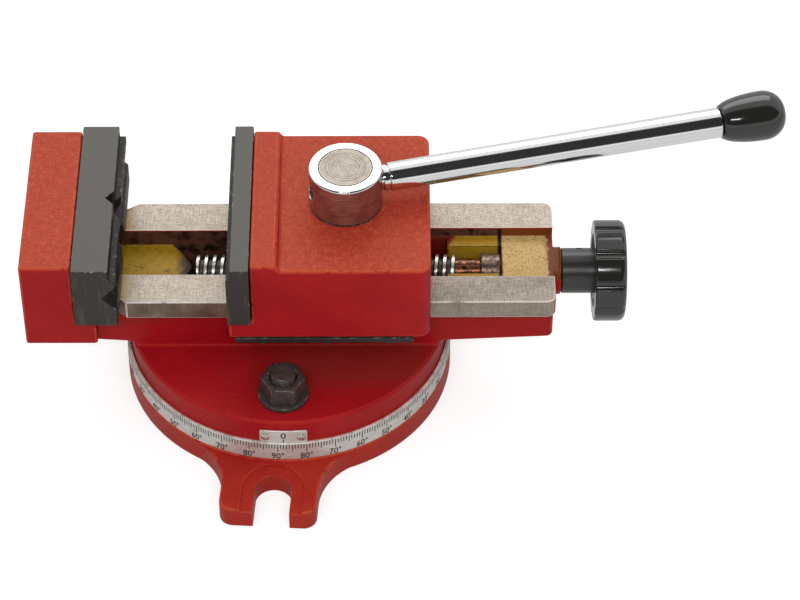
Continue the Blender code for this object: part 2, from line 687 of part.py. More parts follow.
    cut(body, rod("pivot_bore", (0, 0, TABLE_BOTTOM - OVERRUN),
                  (0, 0, TABLE_BOTTOM + PIVOT_GRIP + GAP), PIVOT_RADIUS + GAP))
    for place in bolt_places():
        cut(body, rod("bolt_hole", place + Vector((0, 0, TABLE_BOTTOM - OVERRUN)),
                      place + Vector((0, 0, TABLE_TOP + OVERRUN)), BOLT_RADIUS + BOLT_CLEARANCE))
    for side in (-1, 1):
        y = side * PLATE_SCREW_SPACING / 2
        z = RAIL_TOP + PLATE_LIFT + PLATE_SCREW_HEIGHT
        cut(body,
            rod("rear_hole", (BLOCK_LEFT_X - OVERRUN, y, z), (BLOCK_FACE_X + OVERRUN, y, z),
                PLATE_SCREW_RADIUS + GAP, SMALL_SIDES),
            rod("rear_counterbore", (BLOCK_LEFT_X - OVERRUN, y, z),
                (BLOCK_LEFT_X + FIXED_SCREW_HEAD_HEIGHT + HEAD_CLEARANCE + GAP, y, z),
                FIXED_SCREW_HEAD_RADIUS + HEAD_CLEARANCE, SMALL_SIDES))
    for matrix in rivet_places():
        hole = rod("rivet_hole", (TABLE_RADIUS - RIVET_DEPTH - GAP, 0, 0),
                   (TABLE_RADIUS + OVERRUN, 0, 0), RIVET_SHANK_RADIUS + GAP, SMALL_SIDES)
        hole.matrix_world = matrix
        cut(body, hole)
    make_part(body, "vise_body", red_paint, swivel)


def bolt_places():
    """Give the two places of the T bolts on their circle, front and rear."""
    front = Vector((math.sin(BOLT_TURN), -math.cos(BOLT_TURN), 0)) * BOLT_CIRCLE
    return front, -front


def rivet_places():
    """Give the matrices that point +X out of the rim at the two index rivets."""
    z = TABLE_BOTTOM + INDEX_HEIGHT / 2
    matrices = []
    for side in (-1, 1):
        angle = INDEX_TURN - math.pi / 2 + side * RIVET_SPACING / 2 / TABLE_RADIUS
        matrices.append(Matrix.Translation((0, 0, z)) @ about_z(angle))
    return matrices


def build_index_plate():
    """Model the curved index plate on the rim and its two rivets."""
    inner = TABLE_RADIUS + GAP
    outer = inner + INDEX_THICKNESS
    plate = turned("index", [
        (outer, TABLE_BOTTOM + INDEX_HEIGHT), (outer, TABLE_BOTTOM),
        (inner, TABLE_BOTTOM), (inner, TABLE_BOTTOM + INDEX_HEIGHT)],
        DISC_SIDES * 2, closed=True)
    half = INDEX_WIDTH / 2
    shape = box("index_window", (-half, -outer - OVERRUN, TABLE_BOTTOM - OVERRUN),
                (half, -TABLE_RADIUS / 2, TABLE_BOTTOM + INDEX_HEIGHT + OVERRUN))
    shape.matrix_world = about_z(INDEX_TURN)
    boolean(plate, shape, "INTERSECT")
    for word, matrix in zip(("left", "right"), rivet_places()):
        hole = rod("index_hole", (inner - OVERRUN, 0, 0), (outer + OVERRUN, 0, 0),
                   RIVET_SHANK_RADIUS + GAP, SMALL_SIDES)
        hole.matrix_world = matrix
        cut(plate, hole)
        head = outer + GAP
        dome = [(RIVET_HEAD_RADIUS * out, RIVET_HEAD_HEIGHT * up)
                for up, out in arc(0, 0, 1, 0, math.pi / 2, ARC_STEPS - 2)]
        rivet = turned("rivet", [
            *dome, (RIVET_SHANK_RADIUS, 0), (RIVET_SHANK_RADIUS, TABLE_RADIUS - RIVET_DEPTH - head),
            (0, TABLE_RADIUS - RIVET_DEPTH - head)], SMALL_SIDES,
            matrix @ Matrix.Translation((head, 0, 0)) @ Matrix.Rotation(math.radians(90), 4, "Y"))
        make_part(rivet, "index_rivet_" + word, aluminium, swivel)
    make_part(plate, "index_plate", aluminium, swivel)


def build_swivel_clamp():
    """Model the pivot pin, the T bolts, their washers and the two clamp nuts."""
    low = BASE_HEIGHT - PIVOT_GRIP + GAP
    high = TABLE_BOTTOM + PIVOT_GRIP
    pin = turned("pivot", [
        (0, high), (PIVOT_RADIUS - EDGE, high), (PIVOT_RADIUS, high - EDGE),
        (PIVOT_RADIUS, low + EDGE), (PIVOT_RADIUS - EDGE, low), (0, low)], ROUND_SIDES)
    make_part(pin, "pivot_pin", steel, swivel)

    washer_bottom = TABLE_TOP + GAP
    nut_bottom = washer_bottom + WASHER_THICKNESS + GAP
    nut_top = nut_bottom + NUT_HEIGHT
    head_bottom = SLOT_FLOOR + BOLT_CLEARANCE
    head_top = head_bottom + BOLT_HEAD_HEIGHT
    bolt_top = nut_top + BOLT_TOP_ABOVE_NUT
    for place, pivot, word in zip(bolt_places(), (front_nut_axis, rear_nut_axis), ("front", "rear")):
        matrix = Matrix.Translation(place)
        bolt = turned("bolt", [
            (0, bolt_top), (BOLT_RADIUS - EDGE, bolt_top), (BOLT_RADIUS, bolt_top - EDGE),
            (BOLT_RADIUS, head_top), (BOLT_HEAD_RADIUS, head_top), (BOLT_HEAD_RADIUS, head_bottom),
            (0, head_bottom)], BOLT_SIDES, matrix)
        make_part(bolt, "t_bolt_" + word, black_oxide, swivel)
        hole = BOLT_RADIUS + GAP
        washer = turned("washer", [
            (WASHER_RADIUS - EDGE, washer_bottom + WASHER_THICKNESS),
            (WASHER_RADIUS, washer_bottom + WASHER_THICKNESS - EDGE),
            (WASHER_RADIUS, washer_bottom), (hole, washer_bottom),
            (hole, washer_bottom + WASHER_THICKNESS)], ROUND_SIDES, matrix, closed=True)
        make_part(washer, "clamp_washer_" + word, black_oxide, swivel)
        nut = hex_nut("nut", NUT_FLATS, nut_bottom, nut_top, hole, matrix)
        make_part(nut, "clamp_nut_" + word, black_oxide, pivot)


def hex_nut(name, flats, bottom, top, hole, matrix):
    """Model a hexagon nut with its upper corners turned off."""
    corner = flats / math.sqrt(3)
    chamfer = corner - flats / 2
    nut = rod(name, (0, 0, bottom), (0, 0, top), corner, 6)
    nut.data.transform(Matrix.Rotation(math.radians(30), 4, "Z"))
    crown = turned(name + "_crown", [
        (0, top + BITE), (flats / 2 - BITE, top + BITE),
        (flats / 2 + chamfer + BITE, top + BITE - (chamfer + 2 * BITE) / math.sqrt(3)),
        (flats / 2 + chamfer + BITE, bottom - BITE), (0, bottom - BITE)], BOLT_SIDES)
    bore = rod(name + "_bore", (0, 0, bottom - OVERRUN), (0, 0, top + OVERRUN), hole, BOLT_SIDES)
    for shape in (nut, crown, bore):
        shape.matrix_world = matrix
    boolean(nut, crown, "INTERSECT")
    return cut(nut, bore)


def jaw_plate(name, face_x, back_x, step, toward, vee):
    """Model a jaw plate with its stepped top edge, and vee grooves where it has them."""
    bottom = RAIL_TOP + PLATE_LIFT
    top = bottom + PLATE_HEIGHT
    ledge = top - PLATE_STEP_HEIGHT
    points = [(back_x, bottom), (face_x, bottom)]
    if vee:
        middle = bottom + VEE_HEIGHT
        apex = face_x - toward * VEE_DEPTH
        points += [(face_x, middle - VEE_HALF_WIDTH), (apex, middle), (face_x, middle + VEE_HALF_WIDTH)]
    step_x = face_x - toward * step
    points += [(face_x, ledge), (step_x, ledge), (step_x, top), (back_x, top)]
    plate = outline(name, [points], -JAW_WIDTH / 2, JAW_WIDTH / 2, "XZ")
    return bevel(plate, EDGE, 1)


def build_jaw_plates():
    """Model both jaw plates and the screws that hold them."""
    fixed = jaw_plate("fixed_plate", FIXED_FACE_X, FIXED_BACK_X, FIXED_PLATE_STEP, 1, True)
    bottom = RAIL_TOP + PLATE_LIFT
    top = bottom + PLATE_HEIGHT
    groove = outline("vee_groove", [[
        (FIXED_FACE_X + BITE, -VEE_HALF_WIDTH * (1 + BITE / VEE_DEPTH)),
        (FIXED_FACE_X + BITE, VEE_HALF_WIDTH * (1 + BITE / VEE_DEPTH)),
        (FIXED_FACE_X - VEE_DEPTH, 0)]], bottom - OVERRUN, top + OVERRUN)
    cut(fixed, groove)
    moving = jaw_plate("moving_plate", MOVING_FACE_X, MOVING_BACK_X, MOVING_PLATE_STEP, -1, False)
    z = bottom + PLATE_SCREW_HEIGHT
    hole = PLATE_SCREW_RADIUS + GAP
    head_room = FIXED_SCREW_HEAD_RADIUS + HEAD_CLEARANCE
    head_depth = MOVING_SCREW_HEAD_HEIGHT + HEAD_CLEARANCE
    for side, word in ((-1, "front"), (1, "rear")):
        y = side * PLATE_SCREW_SPACING / 2
        grip = FIXED_BACK_X + FIXED_SCREW_GRIP
        cut(fixed, rod("fixed_thread", (FIXED_BACK_X - OVERRUN, y, z), (grip + GAP, y, z),
                       hole, SMALL_SIDES))
        screw = cap_screw(
            "fixed_screw", (BLOCK_LEFT_X + HEAD_CLEARANCE, y, z), (grip, y, z),
            FIXED_SCREW_HEAD_RADIUS, FIXED_SCREW_HEAD_HEIGHT, PLATE_SCREW_RADIUS)
        make_part(screw, "fixed_jaw_screw_" + word, black_oxide, swivel)
        cut(moving,
            rod("moving_hole", (MOVING_FACE_X - OVERRUN, y, z), (MOVING_BACK_X + OVERRUN, y, z),
                hole, SMALL_SIDES),
            rod("moving_counterbore", (MOVING_FACE_X - OVERRUN, y, z),
                (MOVING_FACE_X + head_depth + GAP, y, z), head_room, SMALL_SIDES))
        screw = cap_screw(
            "moving_screw", (MOVING_FACE_X + HEAD_CLEARANCE, y, z),
            (SADDLE_LEFT_X + MOVING_SCREW_GRIP, y, z),
            FIXED_SCREW_HEAD_RADIUS, MOVING_SCREW_HEAD_HEIGHT, PLATE_SCREW_RADIUS)
        make_part(screw, "moving_jaw_screw_" + word, black_oxide, jaw_slide)
    make_part(fixed, "fixed_jaw_plate", plate_steel, swivel)
    make_part(moving, "moving_jaw_plate", plate_steel, jaw_slide)


def keeper_screw_places():
    """List the X of each keeper screw along the keeper."""
    left = SADDLE_FOOT_X + KEEPER_LEFT_INSET
    return [left + KEEPER_LENGTH * share for share in KEEPER_SCREW_SHARES]


def build_saddle():
    """Model the moving jaw casting, a saddle with a pocket for the spindle nut."""
    half = SADDLE_WIDTH / 2
    bottom = RAIL_TOP - SADDLE_DROP
    foot_top = RAIL_TOP + PLATE_LIFT - GAP
    strip_x = SADDLE_LEFT_X + SADDLE_STRIP_LENGTH
    saddle = outline("saddle", [[
        (SADDLE_FOOT_X, bottom), (SADDLE_RIGHT_X, bottom), (SADDLE_RIGHT_X, RAIL_TOP + SADDLE_TOP),
        (strip_x + SADDLE_STRIP_SLOPE, RAIL_TOP + SADDLE_TOP), (strip_x, RAIL_TOP + SADDLE_STRIP_TOP),
        (SADDLE_LEFT_X, RAIL_TOP + SADDLE_STRIP_TOP), (SADDLE_LEFT_X, foot_top),
        (SADDLE_FOOT_X, foot_top)]], -half, half, "XZ")
    corner = SADDLE_CORNER
    corner_x = SADDLE_RIGHT_X - corner
    plan = outline("saddle_plan", [[
        (SADDLE_FOOT_X - OVERRUN, -half - OVERRUN), (SADDLE_LEFT_X, -half - OVERRUN),
        (SADDLE_LEFT_X, -half), *arc(corner_x, corner - half, corner, -math.pi / 2, 0),
        *arc(corner_x, half - corner, corner, 0, math.pi / 2),
        (SADDLE_LEFT_X, half), (SADDLE_LEFT_X, half + OVERRUN),
        (SADDLE_FOOT_X - OVERRUN, half + OVERRUN)]],
        bottom - OVERRUN, RAIL_TOP + SADDLE_STRIP_TOP + OVERRUN)
    boolean(saddle, plan, "INTERSECT")
    bridge = RAIL_WIDTH / 2 + GAP
    cut(saddle, box("saddle_bridge", (SADDLE_FOOT_X - OVERRUN, -bridge, bottom - OVERRUN),
                    (SADDLE_RIGHT_X + OVERRUN, bridge, RAIL_TOP + GAP)))
    room = nut_room()
    half_length = SPINDLE_NUT_LENGTH / 2 + room
    half_width = CHANNEL_WIDTH / 2 + GAP
    cut(saddle,
        box("nut_pocket", (LEVER_X - half_length, -half_width, RAIL_TOP - OVERRUN),
            (LEVER_X + half_length, half_width, RAIL_TOP + SADDLE_POCKET_TOP)),
        rod("clip_room", (LEVER_X, 0, RAIL_TOP), (LEVER_X, 0, RAIL_TOP + SADDLE_POCKET_TOP),
            CLIP_RADIUS + HEAD_CLEARANCE),
        rod("shaft_bore", (LEVER_X, 0, RAIL_TOP + SADDLE_POCKET_TOP - OVERRUN),
            (LEVER_X, 0, RAIL_TOP + SADDLE_TOP + OVERRUN), SHAFT_RADIUS + GAP))
    for side in (-1, 1):
        y = side * PLATE_SCREW_SPACING / 2
        z = RAIL_TOP + PLATE_LIFT + PLATE_SCREW_HEIGHT
        cut(saddle, rod("saddle_thread", (SADDLE_LEFT_X - OVERRUN, y, z),
                        (SADDLE_LEFT_X + MOVING_SCREW_GRIP + GAP, y, z),
                        PLATE_SCREW_RADIUS + GAP, SMALL_SIDES))
        for x in keeper_screw_places():
            y = side * (half - KEEPER_SCREW_INSET)
            cut(saddle, rod("keeper_thread", (x, y, bottom - OVERRUN),
                            (x, y, bottom + KEEPER_SCREW_LENGTH + GAP),
                            KEEPER_SCREW_RADIUS + GAP, SMALL_SIDES))
    make_part(saddle, "moving_jaw", red_paint, jaw_slide)


def nut_room():
    """Give the room along X between the spindle nut and the walls of the saddle pocket."""
    return CLAMP_TRAVEL + NUT_SLOT_CLEARANCE + 2 * GAP


def build_keepers():
    """Model the keeper plates under the rails and their screws."""
    left = SADDLE_FOOT_X + KEEPER_LEFT_INSET
    top = RAIL_TOP - SADDLE_DROP - GAP
    outer = SADDLE_WIDTH / 2
    inner = RAIL_WIDTH / 2 - KEEPER_HOOK
    for side, word in ((-1, "front"), (1, "rear")):
        ends = sorted((side * inner, side * outer))
        keeper = box("keeper", (left, ends[0], top - KEEPER_THICKNESS),
                     (left + KEEPER_LENGTH, ends[1], top))
        bevel(keeper, EDGE / 2, 1)
        y = side * (outer - KEEPER_SCREW_INSET)
        for number, x in enumerate(keeper_screw_places()):
            cut(keeper, rod("keeper_hole", (x, y, top - KEEPER_THICKNESS - OVERRUN),
                            (x, y, top + OVERRUN), KEEPER_SCREW_RADIUS + GAP, SMALL_SIDES))
            under = top - KEEPER_THICKNESS - GAP
            screw = cap_screw(
                "keeper_screw", (x, y, under - KEEPER_HEAD_HEIGHT),
                (x, y, top + KEEPER_SCREW_LENGTH), KEEPER_HEAD_RADIUS, KEEPER_HEAD_HEIGHT,
                KEEPER_SCREW_RADIUS)
            make_part(screw, f"keeper_screw_{word}_{number + 1}", black_oxide, jaw_slide)
        make_part(keeper, "keeper_plate_" + word, black_oxide, jaw_slide)


def build_thread():
    """Model the left-hand trapezoidal thread as one helical surface closed at both ends."""
    turns = math.ceil((THREAD_RIGHT_X - THREAD_LEFT_X) / THREAD_PITCH) + 2
    root = THREAD_RADIUS - THREAD_DEPTH
    crest = THREAD_PITCH * CREST_SHARE
    flank = THREAD_PITCH * FLANK_SHARE
    rise = THREAD_PITCH - crest - flank
    profile = [(root, 0, 0), (root, 0, rise - flank), (THREAD_RADIUS, 0, rise),
               (THREAD_RADIUS, 0, rise + crest), (root, 0, THREAD_PITCH)]
    mesh = bpy.data.meshes.new("thread")
    mesh.from_pydata(profile, [(index, index + 1) for index in range(len(profile) - 1)], [])
    thread = add_object("thread", mesh, along_x(THREAD_LEFT_X - THREAD_PITCH, SCREW_Z))
    screw = thread.modifiers.new("Helix", "SCREW")
    screw.angle = -2 * math.pi
    screw.screw_offset = THREAD_PITCH
    screw.iterations = turns
    screw.steps = THREAD_STEPS
    screw.render_steps = THREAD_STEPS
    screw.use_merge_vertices = False
    baked(thread)
    shape = bmesh.new()
    shape.from_mesh(thread.data)
    bmesh.ops.remove_doubles(shape, verts=shape.verts, dist=MERGE)
    middle_z = THREAD_PITCH * (turns + 1) / 2
    rims = [edge for edge in shape.edges if edge.is_boundary]
    for side in (-1, 1):
        centre = shape.verts.new((0, 0, middle_z + side * (middle_z + THREAD_PITCH)))
        for edge in rims:
            if side * (edge.verts[0].co.z - middle_z) > 0:
                shape.faces.new((edge.verts[0], edge.verts[1], centre))
    bmesh.ops.recalc_face_normals(shape, faces=shape.faces)
    shape.to_mesh(thread.data)
    shape.free()
    trim = rod("thread_trim", (THREAD_LEFT_X, 0, SCREW_Z), (THREAD_RIGHT_X, 0, SCREW_Z),
               THREAD_RADIUS + BITE)
    boolean(thread, trim, "INTERSECT")
    return baked(thread)


def build_screw():
    """Model the lead screw, its thrust collar, the handwheel and their pins."""
    collar_left = NECK_RIGHT_X + GAP
    collar_right = END_BLOCK_X - GAP
    wheel_left = HUB_LEFT_X + HUB_LENGTH - BITE
    wheel_right = wheel_left + WHEEL_WIDTH
    journal_end = wheel_right - JOURNAL_END_INSET
    neck_left = THREAD_RIGHT_X - THREAD_PITCH / 2
    shank = turned("shank", [
        (0, journal_end - neck_left), (JOURNAL_RADIUS - EDGE, journal_end - neck_left),
        (JOURNAL_RADIUS, journal_end - neck_left - EDGE), (JOURNAL_RADIUS, NECK_RIGHT_X - neck_left),
        (NECK_RADIUS, NECK_RIGHT_X - neck_left), (NECK_RADIUS, THREAD_PITCH / 2),
        (NECK_RADIUS - THREAD_DEPTH / 2, THREAD_PITCH / 4), (NECK_RADIUS - THREAD_DEPTH / 2, 0),
        (0, 0)], BOLT_SIDES, along_x(neck_left, SCREW_Z))
    screw = build_thread()
    join(screw, shank)

    collar = turned("collar", [
        (COLLAR_RADIUS - EDGE, collar_right - collar_left),
        (COLLAR_RADIUS, collar_right - collar_left - EDGE), (COLLAR_RADIUS, EDGE),
        (COLLAR_RADIUS - EDGE, 0), (JOURNAL_RADIUS + GAP, 0),
        (JOURNAL_RADIUS + GAP, collar_right - collar_left)], BOLT_SIDES,
        along_x(collar_left, SCREW_Z), closed=True)
    wheel = build_handwheel(wheel_right)
    pins = (
        ("collar_pin", (collar_left + collar_right) / 2, COLLAR_RADIUS, COLLAR_PIN_TURN, collar),
        ("handwheel_pin", HUB_LEFT_X + HUB_LENGTH * WHEEL_PIN_SHARE, HUB_RADIUS, WHEEL_PIN_TURN, wheel))
    for name, x, radius, turn, carrier in pins:
        middle = Vector((x, 0, SCREW_Z))
        across = Vector((0, math.cos(turn), math.sin(turn)))
        room = across * (radius + OVERRUN)
        hole = rod(name + "_hole", middle - room, middle + room, PIN_RADIUS + GAP, SMALL_SIDES)
        cut(screw, hole)
        cut(carrier, hole)
        reach = across * (radius - EDGE)
        pin = rod(name, middle - reach, middle + reach, PIN_RADIUS, SMALL_SIDES)
        make_part(pin, name, steel, screw_axis)
    make_part(screw, "lead_screw", steel, screw_axis)
    make_part(collar, "thrust_collar", steel, screw_axis)
    make_part(wheel, "handwheel", black_plastic, screw_axis)


def build_handwheel(wheel_right):
    """Model the handwheel: a long hub and a dished rim with shallow flutes."""
    wheel_left = wheel_right - WHEEL_WIDTH
    hub = HUB_LEFT_X - wheel_left
    floor = WHEEL_DISH_DEPTH
    bore = JOURNAL_RADIUS + GAP
    bore_floor = WHEEL_WIDTH - JOURNAL_END_INSET + GAP
    corner = WHEEL_CORNER
    rim = [(radius, height) for height, radius in arc(
        WHEEL_WIDTH - corner, WHEEL_RADIUS - corner, corner, 0, math.pi / 2, ARC_STEPS - 2)]
    wheel = turned("wheel", [
        (0, WHEEL_WIDTH), *rim, (WHEEL_RADIUS, WHEEL_LIP), (WHEEL_RADIUS - WHEEL_LIP, 0),
        (WHEEL_DISH_RADIUS, 0), (WHEEL_DISH_RADIUS - WHEEL_LIP, floor), (HUB_RADIUS, floor),
        (HUB_RADIUS, hub + EDGE), (HUB_RADIUS - EDGE, hub), (bore, hub), (bore, bore_floor),
        (0, bore_floor)], WHEEL_SIDES, along_x(wheel_left, SCREW_Z))
    for number in range(FLUTE_COUNT):
        angle = 2 * math.pi * number / FLUTE_COUNT + FLUTE_TURN
        reach = WHEEL_RADIUS + FLUTE_RADIUS - FLUTE_DEPTH
        y = reach * math.cos(angle)
        z = SCREW_Z + reach * math.sin(angle)
        cut(wheel, rod("flute", (wheel_left - OVERRUN, y, z), (wheel_right + OVERRUN, y, z),
                       FLUTE_RADIUS, SMALL_SIDES))
    return wheel


def build_spindle_nut():
    """Model the spindle nut with its screw bore and the cross slot for the eccentric pin."""
    half_length = SPINDLE_NUT_LENGTH / 2
    half_width = CHANNEL_WIDTH / 2 - SPINDLE_NUT_SIDE_CLEARANCE
    bottom = RAIL_TOP - POCKET_DEPTH + SPINDLE_NUT_BOTTOM_CLEARANCE
    top = RAIL_TOP + SPINDLE_NUT_TOP
    nut = box("spindle_nut", (LEVER_X - half_length, -half_width, bottom),
              (LEVER_X + half_length, half_width, top))
    bevel(nut, EDGE, 1)
    slot = ECCENTRIC_PIN_RADIUS + NUT_SLOT_CLEARANCE
    cut(nut,
        rod("nut_bore", (LEVER_X - half_length - OVERRUN, 0, SCREW_Z),
            (LEVER_X + half_length + OVERRUN, 0, SCREW_Z), THREAD_RADIUS + THREAD_CLEARANCE),
        box("nut_slot", (LEVER_X - slot, -half_width - OVERRUN, RAIL_TOP + NUT_SLOT_FLOOR),
            (LEVER_X + slot, half_width + OVERRUN, top + OVERRUN)))
    make_part(nut, "spindle_nut", bronze, nut_slide)


def build_lever():
    """Model the eccentric shaft, the hub, the lever arm and its knob."""
    at_axis = Matrix.Translation((LEVER_X, 0, RAIL_TOP))
    pointing = Matrix.Translation((LEVER_X, 0, RAIL_TOP + LEVER_HEIGHT)) @ about_z(LEVER_AZIMUTH)
    lying = pointing @ Matrix.Rotation(math.radians(90), 4, "Y")
    clip_top = SADDLE_POCKET_TOP - GAP
    clip_bottom = clip_top - CLIP_THICKNESS
    groove = SHAFT_RADIUS - CLIP_GROOVE_DEPTH
    hub_top = LEVER_HUB_TOP
    shaft = turned("shaft", [
        (0, hub_top), (SHAFT_RADIUS - EDGE / 2, hub_top), (SHAFT_RADIUS, hub_top - EDGE / 2),
        (SHAFT_RADIUS, clip_top + GAP), (groove, clip_top + GAP), (groove, clip_bottom - GAP),
        (SHAFT_RADIUS, clip_bottom - GAP), (SHAFT_RADIUS, SHAFT_BOTTOM), (0, SHAFT_BOTTOM)],
        ROUND_SIDES, at_axis)
    pin = rod("eccentric_pin", (LEVER_X, ECCENTRICITY, RAIL_TOP + ECCENTRIC_PIN_BOTTOM),
              (LEVER_X, ECCENTRICITY, RAIL_TOP + SHAFT_BOTTOM + BITE), ECCENTRIC_PIN_RADIUS, BOLT_SIDES)
    join(shaft, pin)
    washer_bottom = SADDLE_TOP + GAP
    washer_top = washer_bottom + HUB_WASHER_THICKNESS
    bore = SHAFT_RADIUS + GAP
    washer = turned("hub_washer", [
        (LEVER_HUB_RADIUS, washer_top), (LEVER_HUB_RADIUS, washer_bottom), (bore, washer_bottom),
        (bore, washer_top)], ROUND_SIDES, at_axis, closed=True)
    hub_bottom = washer_top + GAP
    hub = turned("hub", [
        (LEVER_HUB_RADIUS - LEVER_HUB_EDGE, hub_top), (LEVER_HUB_RADIUS, hub_top - LEVER_HUB_EDGE),
        (LEVER_HUB_RADIUS, hub_bottom + EDGE), (LEVER_HUB_RADIUS - EDGE, hub_bottom),
        (bore, hub_bottom), (bore, hub_top - EDGE / 2), (bore + EDGE / 2, hub_top)],
        ROUND_SIDES, at_axis, closed=True)
    cross = rod("cross_hole", (-LEVER_HUB_RADIUS - OVERRUN, 0, 0), (LEVER_HUB_RADIUS + OVERRUN, 0, 0),
                SHANK_RADIUS + GAP, BOLT_SIDES)
    cross.matrix_world = pointing
    cut(shaft, cross)
    cut(hub, cross)
    clip = turned("clip", [
        (CLIP_RADIUS, clip_top), (CLIP_RADIUS, clip_bottom), (groove + GAP, clip_bottom),
        (groove + GAP, clip_top)], ROUND_SIDES, at_axis, closed=True)
    cut(clip, box("clip_mouth", (LEVER_X, -CLIP_MOUTH_WIDTH / 2, RAIL_TOP + clip_bottom - OVERRUN),
                  (LEVER_X + CLIP_RADIUS + OVERRUN, CLIP_MOUTH_WIDTH / 2, RAIL_TOP + clip_top + OVERRUN)))

    neck_start = LEVER_HUB_RADIUS + GAP
    arm_start = neck_start + ARM_NECK_LENGTH
    spigot_end = ARM_END_REACH + SPIGOT_LENGTH
    arm = turned("arm", [
        (0, spigot_end), (SPIGOT_RADIUS, spigot_end), (SPIGOT_RADIUS, ARM_END_REACH),
        (ARM_END_RADIUS - EDGE, ARM_END_REACH), (ARM_END_RADIUS, ARM_END_REACH - EDGE),
        (ARM_ROOT_RADIUS, arm_start + ARM_EDGE), (ARM_ROOT_RADIUS - ARM_EDGE, arm_start),
        (ARM_NECK_RADIUS - EDGE, arm_start), (ARM_NECK_RADIUS - EDGE, neck_start),
        (SHANK_RADIUS, neck_start), (SHANK_RADIUS, -SHANK_REACH), (0, -SHANK_REACH)],
        BOLT_SIDES, lying)
    knob_start = ARM_END_REACH + GAP
    knob = turned("knob", knob_profile(knob_start), ROUND_SIDES, lying)
    make_part(shaft, "eccentric_shaft", steel, lever_axis)
    make_part(washer, "hub_washer", black_oxide, jaw_slide)
    make_part(hub, "lever_hub", chrome, lever_axis)
    make_part(clip, "shaft_clip", steel, lever_axis)
    make_part(arm, "lever_arm", chrome, lever_axis)
    make_part(knob, "lever_knob", black_plastic, lever_axis)


def knob_profile(start):
    """List the knob's profile, from the round far end down to its blind bore."""
    end = start + KNOB_LENGTH
    widest = start + KNOB_LENGTH * KNOB_WIDEST_SHARE
    dome = end - widest
    points = [(0, end)]
    for step in range(1, ARC_STEPS + 1):
        angle = math.pi / 2 * step / ARC_STEPS
        fullness = math.sin(angle) ** KNOB_DOME_SHARE
        points.append((KNOB_RADIUS * fullness, widest + dome * math.cos(angle)))
    for step in range(1, ARC_STEPS + 1):
        share = step / ARC_STEPS
        ease = (1 + math.cos(math.pi * share)) / 2
        radius = KNOB_NECK_RADIUS + (KNOB_RADIUS - KNOB_NECK_RADIUS) * ease
        points.append((radius, widest - (widest - start - KNOB_LIP) * share))
    bore = SPIGOT_RADIUS + GAP
    floor = ARM_END_REACH + SPIGOT_LENGTH + GAP
    points += [(KNOB_NECK_RADIUS - EDGE, start), (bore, start), (bore, floor), (0, floor)]
    return points


clear_scene()
parts = make_collection("drill_press_vise")
cutters = make_collection("cutters")

red_paint = make_material("red_paint", (0.42, 0.025, 0.018), 0.45, 0)
plate_steel = make_material("plate_steel", (0.10, 0.10, 0.095), 0.42, 0.7)
steel = make_material("steel", (0.36, 0.33, 0.30), 0.35, 1)
chrome = make_material("chrome", (0.75, 0.75, 0.75), 0.12, 1)
aluminium = make_material("aluminium", (0.62, 0.61, 0.58), 0.38, 1)
black_oxide = make_material("black_oxide", (0.025, 0.025, 0.025), 0.45, 0.6)
black_plastic = make_material("black_plastic", (0.012, 0.012, 0.012), 0.2, 0)
bronze = make_material("bronze", (0.42, 0.26, 0.11), 0.4, 1)

root = empty("base_frame", (0, 0, 0))
swivel = empty("swivel_axis", (0, 0, TABLE_BOTTOM), root)
front_nut_axis = empty("front_nut_axis", bolt_places()[0] + Vector((0, 0, TABLE_TOP)), swivel)
rear_nut_axis = empty("rear_nut_axis", bolt_places()[1] + Vector((0, 0, TABLE_TOP)), swivel)
screw_axis = empty("screw_axis", (END_BLOCK_X, 0, SCREW_Z), swivel)
nut_slide = empty("nut_slide", (LEVER_X, 0, SCREW_Z), swivel)
jaw_slide = empty("jaw_slide", (LEVER_X, 0, RAIL_TOP), nut_slide)
lever_axis = empty("lever_axis", (LEVER_X, 0, RAIL_TOP + SADDLE_TOP), jaw_slide)

build_base()
build_body()
build_index_plate()
build_swivel_clamp()
build_jaw_plates()
build_saddle()
build_keepers()
build_screw()
build_spindle_nut()
build_lever()
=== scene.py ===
import json
import math
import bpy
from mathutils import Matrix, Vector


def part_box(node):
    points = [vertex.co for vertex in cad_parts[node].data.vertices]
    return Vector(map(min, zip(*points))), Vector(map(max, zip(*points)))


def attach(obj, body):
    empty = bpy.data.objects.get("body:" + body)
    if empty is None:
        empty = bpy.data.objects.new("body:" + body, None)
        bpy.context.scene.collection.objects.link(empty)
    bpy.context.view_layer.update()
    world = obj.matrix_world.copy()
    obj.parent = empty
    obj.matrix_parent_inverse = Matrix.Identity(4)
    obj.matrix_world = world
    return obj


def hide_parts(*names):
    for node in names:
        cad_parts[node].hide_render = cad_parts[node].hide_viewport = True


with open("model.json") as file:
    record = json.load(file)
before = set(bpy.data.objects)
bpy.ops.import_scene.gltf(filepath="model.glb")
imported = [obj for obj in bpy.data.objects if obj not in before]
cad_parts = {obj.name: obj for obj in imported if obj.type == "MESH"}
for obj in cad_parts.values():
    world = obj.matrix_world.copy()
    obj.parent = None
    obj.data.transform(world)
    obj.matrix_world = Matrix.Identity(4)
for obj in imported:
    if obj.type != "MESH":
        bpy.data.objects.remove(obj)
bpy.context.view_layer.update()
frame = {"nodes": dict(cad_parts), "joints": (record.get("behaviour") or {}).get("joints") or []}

from types import SimpleNamespace

import bmesh
import bpy
from mathutils import Matrix, Vector

mm = 0.001
joints = {joint["name"]: joint for joint in frame["joints"]}
scene = bpy.context.scene
print("frame loaded with", len(frame["nodes"]), "nodes")


def place(node):
    # lowest and highest corner of a CAD node, in millimetres
    low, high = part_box(node)
    return low / mm, high / mm


def middleOf(node):
    low, high = place(node)
    return (low + high) / 2


